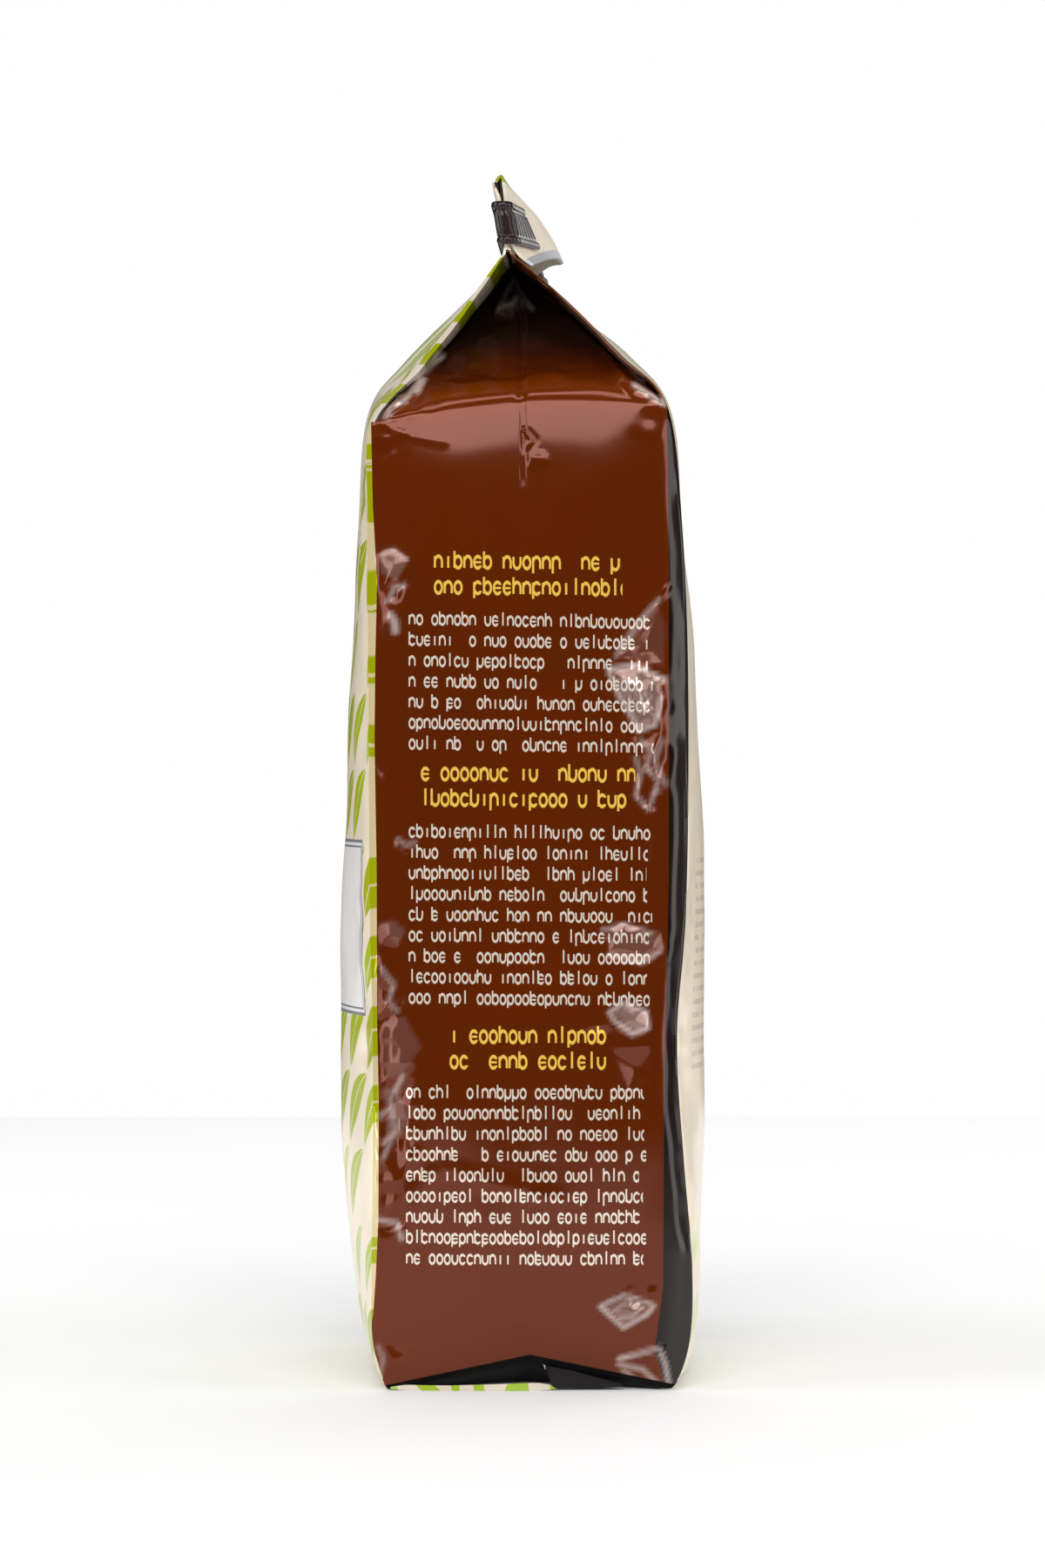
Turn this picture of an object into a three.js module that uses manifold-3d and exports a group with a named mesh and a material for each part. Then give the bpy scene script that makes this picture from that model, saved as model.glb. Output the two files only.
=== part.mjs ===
// A filled side-gusset coffee bag with its top folded over and held by a tin tie.
// Millimetres, +Z up. The wide front panel faces -Y and one narrow gusset faces +X.

import * as THREE from 'three';
import { LoftGeometry } from 'three/addons/geometries/LoftGeometry.js';
import { mergeVertices } from 'three/addons/utils/BufferGeometryUtils.js';
import Module from 'manifold-3d';

const wasm = await Module();
wasm.setup();

// Sizes of the filled bag.
const panelHalfWidth = 41.4;
const baseCornerX = 36.5;
const baseNotchDepth = 9.5;
const gussetHemRise = 5.2;
const gussetHemDrop = 1.4;
const gussetFoldDepth = 31.6;
const gussetValley = 0.35;
const shoulderArch = 3.0;
const lipThickness = 0.8;
const lipStep = 0.15;
const baseNotchPower = 1.1;
const panelCrown = 2.2;

// Sizes of the rolled top.
const rollHalfWidth = 40.8;
const rollThickness = 0.9;
const rollCamber = 0.15;
const rollTopHeight = 258.9;
const flareStart = 255.2;
const rollLean = 0.165;
const rollFaceAtNeck = -3.6;
const rollSkew = 2.7;
const rollTopThickness = 1.9;
const neckHeight = 243.6;
const flapThickness = 0.7;
const flapFarTrim = 0.24;

// Where the flat stack leaves the gable: height above the neck, thickness, and how much
// higher the middle of the stack stands than its ends.
const neckBlend = [
  { above: 0.9, thickness: 1.4, middleLift: 0.6 },
  { above: 1.9, thickness: rollThickness, middleLift: 0.2 },
];
const flareHalfwayShare = 0.85;
const stackLipShare = 0.25;
const stackStepShare = 0.0625;

// Sizes of the tin tie.
const filmClearance = 0.3;
const beadHalfThickness = 0.56;
const beadHalfHeight = 0.9;
const webHalfThickness = 0.2;
const tieLowerBead = 246.4;
const tieUpperBead = 253.8;
const tieTabEnd = 32;

// How finely the surfaces are divided.
const panelSteps = 14;
const gussetSteps = 10;
const wallSteps = 3;
const flapSteps = 16;
const flapEdgeSteps = 16;
const bendSteps = 8;
const tabSteps = 4;
const beadSteps = 7;

// How the flap's face and direction are measured, and how near points are welded.
const tangentProbe = 0.01;
const slopeProbe = 0.5;
const faceStart = 0.25;
const halvings = 30;
const weldDistance = 1e-4;

// Outline of the bag from the base to the neck, each point a [y, z] pair. The crease points
// run up the two corner folds beside a gusset, the middle points up the middle of a panel.
const outline = {
  frontCrease: [
    [-26.0, 0], [-28.2, 0.8], [-30.2, 2.6], [-32.2, 12], [-32.3, 27], [-32.1, 50], [-32.1, 76],
    [-32.7, 104], [-33.0, 150], [-33.2, 186], [-32.5, 207.2], [-22.6, 219.4], [-12.9, 231.6], [-4.15, 243.6],
  ],
  frontMiddle: [
    [-29.8, 0], [-31.7, 1.0], [-33.0, 3.0], [-35.9, 12], [-38.2, 27], [-39.7, 50], [-40.2, 76],
    [-40.0, 104], [-38.5, 150], [-36.6, 186], [-34.2, 211.2], [-26.7, 222.8], [-15.2, 234.4], [-4.2, 244.2],
  ],
  backCrease: [
    [27.5, 0], [30.8, 0.9], [33.5, 2.8], [36.0, 12], [36.3, 27], [34.4, 50], [33.0, 76],
    [35.0, 104], [35.5, 150], [34.2, 186], [31.0, 211], [21.0, 221.9], [10.0, 233.1], [-2.15, 243.6],
  ],
  backMiddle: [
    [33.0, 0], [35.8, 1.1], [37.2, 3.4], [38.6, 12], [39.7, 27], [40.4, 50], [40.6, 76],
    [40.4, 104], [38.8, 150], [35.3, 186], [32.7, 211.9], [23.8, 224.1], [10.9, 233.6], [-2.2, 244.2],
  ],
};

// Index of the outline points where the form changes.
const hemStation = 2;
const shoulderStation = 10;
const neckStation = 13;

// Over how many outline points the shape of the hem fades out above it.
const hemFadeStations = 2;

// How far the middle of a gusset swells past the corner folds, at each outline point.
const gussetSwell = [0, 0, 0, 1.2, 1.8, 2.1, 2.2, 2.2, 2.1, 2.1, -1.2, 0.2, 0.3, 0];

// Half the width of the panels, at each outline point.
const cornerX = [
  baseCornerX, 39.0, 40.4, 41.2, panelHalfWidth, panelHalfWidth, panelHalfWidth,
  panelHalfWidth, panelHalfWidth, panelHalfWidth, panelHalfWidth, 41.3, 41.2, 41.0,
];

// Centre line of the folded-over flap, from the crest to its free edge, as [y, z] pairs:
// at the two ends, where the tin tie pinches it, and at the middle, where it springs open.
const flapPinched = [
  [-5.75, 257.7], [-5.7, 258.9], [-5.1, 259.9], [-4.4, 260.1], [-3.95, 257.6], [-3.4, 253.0],
  [-2.4, 246.6], [-0.7, 243.4], [2.2, 241.2],
];
const flapSprung = [
  [-5.75, 257.7], [-5.7, 258.9], [-5.1, 259.9], [-3.6, 260.3], [-1.6, 259.5], [1.1, 257.1],
  [3.5, 253.8], [5.8, 250.2], [7.5, 246.4],
];

function lerp(from, to, share) {
  return from + (to - from) * share;
}

function splineThrough(points) {
  return new THREE.SplineCurve(points.map(([y, z]) => new THREE.Vector2(y, z)));
}

// Value of a list between two of its entries.
function valueAt(list, station) {
  const index = Math.min(Math.floor(station), list.length - 2);
  return lerp(list[index], list[index + 1], station - index);
}

// Moves points of the rolled top towards the back panel, more the farther they lie from the +X end.
function skewed(points, share) {
  for (const point of points) {
    point.y += (share * rollSkew * (1 - point.x / rollHalfWidth)) / 2;
  }
  return points;
}

// The same points on the -X side, in the order that carries the ring on.
function mirrored(points) {
  return points.map((point) => new THREE.Vector3(-point.x, point.y, point.z)).reverse();
}

// Points of the gusset that faces +X, from the front crease to the back crease.
function gussetPoints(front, back, shape) {
  const margin = shape.lip + shape.step;
  const points = [];
  points.push(new THREE.Vector3(shape.corner, front.y, front.z));
  points.push(new THREE.Vector3(shape.corner, front.y + shape.lip, front.z));
  for (let i = 0; i <= gussetSteps; i++) {
    const across = lerp(-1, 1, i / gussetSteps);
    const y = lerp(front.y + margin, back.y - margin, i / gussetSteps);
    const valley = i === gussetSteps / 2 ? shape.valley : 0;
    const swell = shape.swell * (1 - across * across);
    const notch = shape.notch * (1 - Math.abs(across) ** shape.notchPower);
    const x = shape.corner - shape.inset - notch + swell - valley;
    const hem = shape.hem * (gussetHemRise * (1 - Math.abs(across)) - gussetHemDrop * Math.abs(across));
    const arch = shape.arch * (1 - across * across);
    points.push(new THREE.Vector3(x, y, lerp(front.z, back.z, i / gussetSteps) + hem + arch));
  }
  points.push(new THREE.Vector3(shape.corner, back.y - shape.lip, back.z));
  points.push(new THREE.Vector3(shape.corner, back.y, back.z));
  return points;
}

// Inner points of a wide panel, from the +X corner to the -X corner.
function panelPoints(corner, middle, halfWidth) {
  const points = [];
  for (let i = 1; i < panelSteps; i++) {
    const across = lerp(1, -1, i / panelSteps);
    const crown = 1 - Math.abs(across) ** panelCrown;
    const y = lerp(corner.y, middle.y, crown);
    const z = lerp(corner.z, middle.z, crown);
    points.push(new THREE.Vector3(across * halfWidth, y, z));
  }
  return points;
}

// One closed ring of the bag, counterclockwise seen from above.
function ringPoints(lines, shape) {
  const gusset = gussetPoints(lines.frontCrease, lines.backCrease, shape);
  const back = panelPoints(lines.backCrease, lines.backMiddle, shape.corner);
  const front = panelPoints(lines.frontCrease, lines.frontMiddle, shape.corner);
  return [...gusset, ...back, ...mirrored(gusset), ...front.reverse()];
}

// Ring between the base and the neck. The station counts outline points.
function bodyRing(splines, station) {
  const lines = {};
  for (const [name, spline] of Object.entries(splines)) {
    const point = spline.getPoint(station / neckStation);
    lines[name] = { y: point.x, z: point.y };
  }
  const folded = Math.max(0, (station - shoulderStation) / (neckStation - shoulderStation));
  const notched = Math.max(0, 1 - station / hemStation);
  const arched = Math.max(0, 1 - Math.abs(station - shoulderStation));
  const hemFade = Math.max(0, 1 - (station - hemStation) / hemFadeStations);
  const hemmed = station <= hemStation ? station / hemStation : hemFade;
  const points = ringPoints(lines, {
    corner: valueAt(cornerX, station),
    lip: lipThickness,
    step: lipStep,
    inset: gussetFoldDepth * folded,
    swell: valueAt(gussetSwell, station),
    valley: station > hemStation ? gussetValley : 0,
    notch: baseNotchDepth * notched,
    notchPower: baseNotchPower,
    hem: hemmed,
    arch: shoulderArch * arched,
  });
  return skewed(points, folded);
}

// Front face of the rolled top at one height, before the skew.
function rollFace(height) {
  return rollFaceAtNeck - rollLean * (height - neckHeight);
}

// Ring of the flattened film stack above the neck.
function rollRing(height, thickness, middleLift) {
  const middleOfStack = rollFace(height) + rollThickness / 2;
  const frontY = middleOfStack - thickness / 2;
  const backY = middleOfStack + thickness / 2;
  const lines = {
    frontCrease: { y: frontY, z: height },
    frontMiddle: { y: frontY - rollCamber, z: height + middleLift },
    backCrease: { y: backY, z: height },
    backMiddle: { y: backY + rollCamber, z: height + middleLift },
  };
  const points = ringPoints(lines, {
    corner: rollHalfWidth,
    lip: thickness * stackLipShare,
    step: thickness * stackStepShare,
    inset: 0,
    swell: rollCamber,
    valley: 0,
    notch: 0,
    notchPower: 1,
    hem: 0,
    arch: 0,
  });
  return skewed(points, 1);
}

// The filled body with its gable top and the flat stack above the neck.
function bodyGeometry() {
  const splines = {};
  for (const [name, points] of Object.entries(outline)) {
    splines[name] = splineThrough(points);
  }
  const rings = [];
  for (let station = 0; station < neckStation; station++) {
    const steps = station < hemStation ? 1 : wallSteps;
    for (let step = 0; step < steps; step++) {
      rings.push(bodyRing(splines, station + step / steps));
    }
  }
  rings.push(bodyRing(splines, neckStation));
  for (const blend of neckBlend) {
    rings.push(rollRing(neckHeight + blend.above, blend.thickness, blend.middleLift));
  }
  rings.push(rollRing(flareStart, rollThickness, 0));
  rings.push(rollRing((flareStart + rollTopHeight) / 2, rollTopThickness * flareHalfwayShare, 0));
  rings.push(rollRing(rollTopHeight, rollTopThickness, 0));
  return new LoftGeometry(rings, { capStart: true, capEnd: true });
}

// Point of the flap's centre line. The span runs from 0 at the middle to 1 at an end.
function flapPoint(curves, span, along) {
  const spring = 1 - span * span;
  const pinched = curves.pinched.getPoint(along);
  const sprung = curves.sprung.getPoint(along);
  return pinched.lerp(sprung, spring);
}

// One section of the flap, square to X. The askew fold leaves the flap shorter towards the -X end.
function flapSection(curves, x) {
  const span = Math.abs(x) / rollHalfWidth;
  const length = 1 - flapFarTrim * Math.max(0, -x / rollHalfWidth);
  const outer = [];
  const inner = [];
  for (let i = 0; i <= flapEdgeSteps; i++) {
    const along = (length * i) / flapEdgeSteps;
    const ahead = flapPoint(curves, span, Math.min(1, along + tangentProbe));
    const behind = flapPoint(curves, span, Math.max(0, along - tangentProbe));
    const tangent = ahead.sub(behind).normalize();
    const normal = new THREE.Vector2(-tangent.y, tangent.x).multiplyScalar(flapThickness / 2);
    const centre = flapPoint(curves, span, along);
    outer.push(new THREE.Vector3(x, centre.x + normal.x, centre.y + normal.y));
    inner.push(new THREE.Vector3(x, centre.x - normal.x, centre.y - normal.y));
  }
  return skewed([...inner, ...outer.reverse()], 1);
}

// The folded-over end of the bag, one curved sheet along X.
function flapGeometry(curves) {
  const sections = [];
  for (let i = 0; i <= flapSteps; i++) {
    sections.push(flapSection(curves, lerp(-rollHalfWidth, rollHalfWidth, i / flapSteps)));
  }
  return new LoftGeometry(sections, { capStart: true, capEnd: true });
}

// Outer face of the flap at one height before the skew, found by halving.
function flapFace(curves, x, height) {
  const span = Math.min(1, Math.abs(x) / rollHalfWidth);
  let low = faceStart;
  let high = 1;
  for (let i = 0; i < halvings; i++) {
    const half = (low + high) / 2;
    if (flapPoint(curves, span, half).y > height) {
      low = half;
    } else {
      high = half;
    }
  }
  return flapPoint(curves, span, low).x + flapThickness / 2;
}

// Place of the tie's middle over the flap, clear of the flap's sloping face.
function tabPoint(curves, x, height) {
  const endward = flapFace(curves, x + slopeProbe, height);
  const inward = flapFace(curves, x - slopeProbe, height);
  const above = flapFace(curves, x, height + slopeProbe);
  const below = flapFace(curves, x, height - slopeProbe);
  const slopeAlong = (endward - inward) / (2 * slopeProbe);
  const slopeUp = (above - below) / (2 * slopeProbe);
  const reach = (filmClearance + beadHalfThickness) * Math.hypot(1, slopeAlong, slopeUp);
  return new THREE.Vector3(x, flapFace(curves, x, height) + reach, height);
}

// Half of the tin tie's path as seen from above at one height: from the end of the tab,
// round the end of the roll and on to the front face.
function tiePath(curves, height) {
  const reach = filmClearance + beadHalfThickness;
  const frontY = rollFace(height) - reach;
  const bendBackY = flapFace(curves, rollHalfWidth, height) + reach;
  const radius = (bendBackY - frontY) / 2;
  const middleY = (bendBackY + frontY) / 2;
  const path = [];
  for (let i = 0; i < tabSteps; i++) {
    path.push(tabPoint(curves, lerp(tieTabEnd, rollHalfWidth, i / tabSteps), height));
  }
  for (let i = 0; i <= bendSteps; i++) {
    const angle = lerp(Math.PI / 2, -Math.PI / 2, i / bendSteps);
    const x = rollHalfWidth + radius * Math.cos(angle);
    path.push(new THREE.Vector3(x, middleY + radius * Math.sin(angle), height));
  }
  path.push(new THREE.Vector3(rollHalfWidth / 2, frontY, height));
  return skewed([...path, ...mirrored(path)], 1);
}

// One bead of the tie's section, an arc that leaves room for the web.
function beadOutline(centre, outward, up, towardWeb) {
  const opening = Math.asin(webHalfThickness / beadHalfThickness);
  const points = [];
  for (let i = 0; i <= beadSteps; i++) {
    const angle = lerp(opening, 2 * Math.PI - opening, i / beadSteps);
    const across = Math.sin(angle) * beadHalfThickness * towardWeb;
    const along = Math.cos(angle) * beadHalfHeight * towardWeb;
    points.push(centre.clone().addScaledVector(outward, across).addScaledVector(up, along));
  }
  return points;
}

// The tin tie: two wire beads joined by a thin web, its ends folded back over the flap.
function tieGeometry(curves) {
  const lower = tiePath(curves, tieLowerBead);
  const upper = tiePath(curves, tieUpperBead);
  const sections = lower.map((low, i) => {
    const high = upper[i];
    const before = lower[Math.max(0, i - 1)];
    const after = lower[Math.min(lower.length - 1, i + 1)];
    const tangent = after.clone().sub(before).normalize();
    const up = high.clone().sub(low).normalize();
    const outward = new THREE.Vector3().crossVectors(tangent, up).normalize();
    return [...beadOutline(low, outward, up, 1), ...beadOutline(high, outward, up, -1)];
  });
  return new LoftGeometry(sections, { capStart: true, capEnd: true });
}

// Turns a closed geometry into a solid for joining.
function solidFrom(geometry) {
  const bare = new THREE.BufferGeometry().copy(geometry);
  bare.deleteAttribute('normal');
  bare.deleteAttribute('uv');
  const merged = mergeVertices(bare, weldDistance);
  const vertProperties = new Float32Array(merged.attributes.position.array);
  const triVerts = new Uint32Array(merged.index.array);
  return new wasm.Manifold(new wasm.Mesh({ numProp: 3, vertProperties, triVerts }));
}

// Turns a joined solid back into a geometry.
function geometryFrom(solid) {
  const mesh = solid.getMesh();
  const geometry = new THREE.BufferGeometry();
  geometry.setAttribute('position', new THREE.BufferAttribute(mesh.vertProperties, 3));
  geometry.setIndex(new THREE.BufferAttribute(mesh.triVerts, 1));
  geometry.computeVertexNormals();
  return geometry;
}

function namedMesh(name, geometry, look) {
  const mesh = new THREE.Mesh(geometry, new THREE.MeshStandardMaterial(look));
  mesh.name = name;
  return mesh;
}

const flapCurves = { pinched: splineThrough(flapPinched), sprung: splineThrough(flapSprung) };
const bagSolid = solidFrom(bodyGeometry()).add(solidFrom(flapGeometry(flapCurves)));

const coffeeBag = new THREE.Group();
coffeeBag.add(namedMesh('bag', geometryFrom(bagSolid), { color: 0x5a1f05, roughness: 0.28, metalness: 0 }));
coffeeBag.add(namedMesh('tin_tie', tieGeometry(flapCurves), { color: 0x3a282a, roughness: 0.35, metalness: 0 }));

export default coffeeBag;
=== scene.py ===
"""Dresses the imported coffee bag: printed film with dents and folds, the sprung flap and the tin tie."""

import math

import bpy
import numpy as np
from bpy.props import FloatProperty, FloatVectorProperty, IntProperty, PointerProperty
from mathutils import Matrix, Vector


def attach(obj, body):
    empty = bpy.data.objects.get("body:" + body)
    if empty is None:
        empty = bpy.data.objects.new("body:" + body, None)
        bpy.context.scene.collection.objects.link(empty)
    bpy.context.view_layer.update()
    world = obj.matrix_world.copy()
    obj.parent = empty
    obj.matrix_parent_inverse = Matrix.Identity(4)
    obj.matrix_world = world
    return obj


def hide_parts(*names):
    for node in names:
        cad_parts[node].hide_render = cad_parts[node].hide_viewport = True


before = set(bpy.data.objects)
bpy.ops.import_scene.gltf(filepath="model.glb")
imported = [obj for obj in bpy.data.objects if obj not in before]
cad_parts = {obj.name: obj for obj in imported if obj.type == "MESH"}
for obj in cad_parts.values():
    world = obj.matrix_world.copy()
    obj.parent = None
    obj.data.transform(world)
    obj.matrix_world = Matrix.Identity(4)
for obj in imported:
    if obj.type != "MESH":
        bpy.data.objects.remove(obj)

bl_info = {
    "name": "Coffee Bag",
    "version": (1, 0, 0),
    "blender": (4, 5, 0),
    "location": "View3D > Sidebar > Coffee Bag",
    "description": "Builds a filled side-gusset coffee bag with a rolled top and a tin tie",
    "category": "Object",
}

MM = 0.001

# The photograph's frame, and the gusset seen in it square on.
PIXELS_HIGH = 1800
MM_PER_PIXEL = 0.1865
CENTRE_PIXEL_X = 600
FLOOR_PIXEL_Y = 1597
EYE_HEIGHT = 130.0
CAMERA_DISTANCE = 900.0
GUSSET_PLANE = 41.5
SENSOR_WIDTH = 36.0

# Outline of the bag in millimetres from the base to the neck, each point (y, z). The crease
# points run up the two corner folds beside a gusset, the middle points up a panel's middle.
OUTLINE = {
    "front_crease": (
        (-26.0, 0), (-28.2, 0.8), (-30.2, 2.6), (-32.2, 12), (-32.3, 27), (-32.1, 50), (-32.1, 76),
        (-32.7, 104), (-33.0, 150), (-33.2, 186), (-32.5, 207.2), (-22.6, 219.4), (-12.9, 231.6),
        (-4.15, 243.6),
    ),
    "front_middle": (
        (-29.8, 0), (-31.7, 1.0), (-33.0, 3.0), (-35.9, 12), (-38.2, 27), (-39.7, 50), (-40.2, 76),
        (-40.0, 104), (-38.5, 150), (-36.6, 186), (-34.2, 211.2), (-26.7, 222.8), (-15.2, 234.4),
        (-4.2, 244.2),
    ),
    "back_crease": (
        (27.5, 0), (30.8, 0.9), (33.5, 2.8), (36.0, 12), (36.3, 27), (34.4, 50), (33.0, 76),
        (35.0, 104), (35.5, 150), (34.2, 186), (31.0, 211), (21.0, 221.9), (10.0, 233.1), (-2.15, 243.6),
    ),
    "back_middle": (
        (33.0, 0), (35.8, 1.1), (37.2, 3.4), (38.6, 12), (39.7, 27), (40.4, 50), (40.6, 76),
        (40.4, 104), (38.8, 150), (35.3, 186), (32.7, 211.9), (23.8, 224.1), (10.9, 233.6), (-2.2, 244.2),
    ),
}
HEM_STATION = 2
SHOULDER_STATION = 10
NECK_STATION = 13
GUSSET_SWELL = (0, 0, 0, 1.2, 1.8, 2.1, 2.2, 2.2, 2.1, 2.1, 2.1, 0.2, 0.3, 0)
# How far the shoulder is drawn in, and the outline point where that starts: at the corners, and how
# much lower in the middle of the gusset.
SHOULDER_PULL = 3.3
PULL_START = 9.25
PULL_DIP = 0.65
SHOULDER_ARCH = 3.0
# Width by which the front panel's print is folded round onto the roof's edge, and the outline points
# between which it grows and fades.
ROOF_HEM = 0.7
ROOF_HEM_STATIONS = (9.95, 10.3, 11.9, 12.8)
# Step from a film edge to the floor of its gusset, the fold down the middle of the roof, the bow of the
# tucked base and of the wide panels, and the outline points over which the hem fades.
LIP_GAP = 0.12
VALLEY_DEPTH = 0.3
VALLEY_SHARPNESS = 32 / 0.9
NOTCH_POWER = 1.1
CROWN_POWER = 2.2
HEM_FADE_STATIONS = 2
CORNER_X = (36.5, 39.0, 40.4, 41.2, 41.4, 41.4, 41.4, 41.4, 41.4, 41.4, 41.4, 41.3, 41.2, 41.0)

# The rolled top: its front face at the neck, its lean, how far its far end is skewed towards the
# back panel, and the height where the stack flares and how thick it is at its top.
NECK_HEIGHT = 243.6
ROLL_FACE_AT_NECK = -3.6
ROLL_LEAN = 0.165
ROLL_SKEW = 2.7
ROLL_HALF_WIDTH = 40.8
FLARE_START = 255.2
ROLL_TOP_THICKNESS = 1.9
# Heights of its lowest rows of points, how many rows follow, how far its sides bow, and how many
# millimetres of its height count as one outline point in the print's place.
ROLL_FIRST_ROWS = (244.5, 245.5)
ROLL_ROWS = 24
ROLL_CROWN = 0.15
ROLL_MM_PER_STATION = 16

# Centre line of the folded-over flap as (y, z): pinched by the tie at its ends, sprung open midway.
FLAP_PINCHED = (
    (-5.75, 257.7), (-5.7, 258.9), (-5.1, 259.9), (-4.4, 260.1), (-3.95, 257.6), (-3.4, 253.0),
    (-2.4, 246.6), (-0.7, 243.4), (2.2, 241.2),
)
FLAP_SPRUNG = (
    (-5.75, 257.7), (-5.7, 258.9), (-5.1, 259.9), (-3.6, 260.3), (-1.6, 259.5), (1.1, 257.1),
    (3.5, 253.8), (5.8, 250.2), (7.5, 246.4),
)
# How much shorter the flap is at its far end, as a share of its length.
FLAP_FAR_TRIM = 0.24
FLAP_ROWS = 61
FLAP_COLUMNS = 121
FLAP_PROBE = 0.005

# Dents and folds of the shown gusset, placed by the photograph's pixels: corners of each
# flat-topped dent or ridge, its height in millimetres outward and the slope of its sides.
GUSSET_FACETS = (
    (((433, 634), (452, 628), (474, 640), (488, 664), (468, 672), (446, 688), (433, 702)), 1.3, 0.19),
    (((443, 672), (456, 664), (466, 676), (458, 692), (446, 690)), -0.5, 0.35),
    (((449, 706), (456, 704), (459, 722), (452, 728)), 0.3, 0.18),
    (((705, 752), (757, 688), (768, 705), (768, 760), (738, 768)), -1.4, 0.2),
    (((696, 770), (728, 764), (762, 780), (768, 812), (742, 846), (716, 838)), 2.2, 0.22),
    (((722, 790), (748, 784), (756, 812), (734, 826)), -0.5, 0.22),
    (((734, 846), (762, 838), (768, 880), (752, 900), (736, 884)), 1.2, 0.2),
    (((730, 896), (752, 892), (766, 916), (748, 938), (732, 926)), -0.9, 0.2),
    (((690, 1066), (716, 1058), (760, 1070), (764, 1092), (738, 1106), (700, 1098)), 0.5, 0.25),
    (((704, 1160), (722, 1149), (744, 1158), (746, 1182), (728, 1192), (708, 1182)), 1.4, 0.24),
    (((662, 1166), (706, 1162), (708, 1184), (670, 1188)), 0.25, 0.12),
    (((700, 1206), (748, 1202), (756, 1240), (722, 1262)), -0.8, 0.2),
    (((434, 1060), (452, 1052), (470, 1068), (458, 1090), (436, 1086)), 0.9, 0.17),
    (((436, 1172), (470, 1164), (488, 1200), (480, 1244), (438, 1240)), 1.3, 0.17),
    (((438, 1250), (462, 1246), (480, 1282), (470, 1330), (440, 1338)), -1.1, 0.19),
    (((440, 1344), (462, 1350), (466, 1392), (442, 1410)), 0.8, 0.17),
    (((688, 1500), (716, 1484), (752, 1496), (748, 1516), (712, 1526)), 1.3, 0.24),
    (((598, 478), (609, 493), (636, 500), (614, 512), (599, 532)), -1.2, 0.5),
    (((604, 516), (624, 520), (634, 532), (606, 536)), 0.5, 0.4),
    (((590, 318), (612, 352), (590, 366), (566, 358)), 3.0, 0.7),
    (((436, 480), (460, 446), (504, 410), (498, 436), (474, 462)), 2.4, 0.65),
    (((452, 452), (476, 432), (486, 440), (466, 462)), -1.0, 0.8),
    (((700, 412), (724, 430), (760, 462), (728, 456), (706, 440)), 1.4, 0.6),
    (((430, 1540), (484, 1536), (480, 1640), (440, 1640)), 1.4, 0.14),
    (((708, 1556), (767, 1544), (768, 1584), (730, 1588)), 0.6, 0.2),
)
# Thin fold lines: start and end pixel, depth in millimetres (outward is positive) and width.
GUSSET_LINES = (
    ((601, 452), (601, 560), -0.4, 0.8), ((601, 560), (601, 640), -0.15, 0.9),
    ((602, 620), (602, 1360), -0.07, 0.8), ((603, 1360), (601, 1556), -0.22, 1.0),
    ((430, 484), (470, 500), 0.35, 1.2),
    ((470, 500), (515, 508), 0.2, 1.4), ((757, 688), (705, 750), 0.4, 1.1),
    ((757, 688), (768, 672), 0.4, 1.0), ((430, 815), (570, 850), 0.12, 2.2),
    ((430, 900), (560, 852), 0.1, 2.4), ((430, 876), (446, 890), 0.3, 1.0),
    ((455, 966), (470, 978), 0.35, 1.0), ((434, 1112), (456, 1140), 0.35, 1.2),
    ((456, 1140), (436, 1168), 0.35, 1.2), ((690, 1082), (762, 1078), -0.25, 1.2),
    ((716, 1058), (700, 1098), 0.25, 1.0), ((712, 1526), (752, 1480), 0.3, 1.2),
    ((745, 900), (740, 1000), 0.25, 2.0), ((438, 1412), (462, 1400), -0.5, 1.6),
    ((460, 1425), (500, 1340), 0.12, 2.6), ((500, 1340), (650, 1380), 0.1, 3.0),
    ((767, 1545), (735, 1590), 0.35, 1.1), ((708, 1560), (767, 1552), 0.3, 1.1),
    ((728, 440), (766, 464), 0.5, 0.9), ((434, 484), (507, 409), 0.45, 1.1),
    ((590, 318), (566, 358), 0.5, 0.9), ((590, 318), (612, 352), 0.5, 0.9),
    ((640, 340), (740, 440), 0.35, 1.2), ((600, 330), (600, 455), -0.3, 1.2),
)
# Places of the shown gusset where the film is crumpled: centre pixel, half sizes in pixels and height.
GUSSET_CRUMPLES = (
    ((445, 680), (18, 55), 0.35), ((745, 850), (30, 110), 0.45), ((446, 1140), (18, 60), 0.35),
    ((456, 1290), (26, 120), 0.45), ((735, 1085), (40, 40), 0.25), ((730, 1505), (45, 35), 0.3),
    ((740, 1570), (45, 25), 0.35), ((455, 1570), (30, 25), 0.35), ((440, 500), (30, 30), 0.3),
    ((750, 480), (30, 26), 0.22), ((470, 448), (40, 36), 0.3),
)

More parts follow.
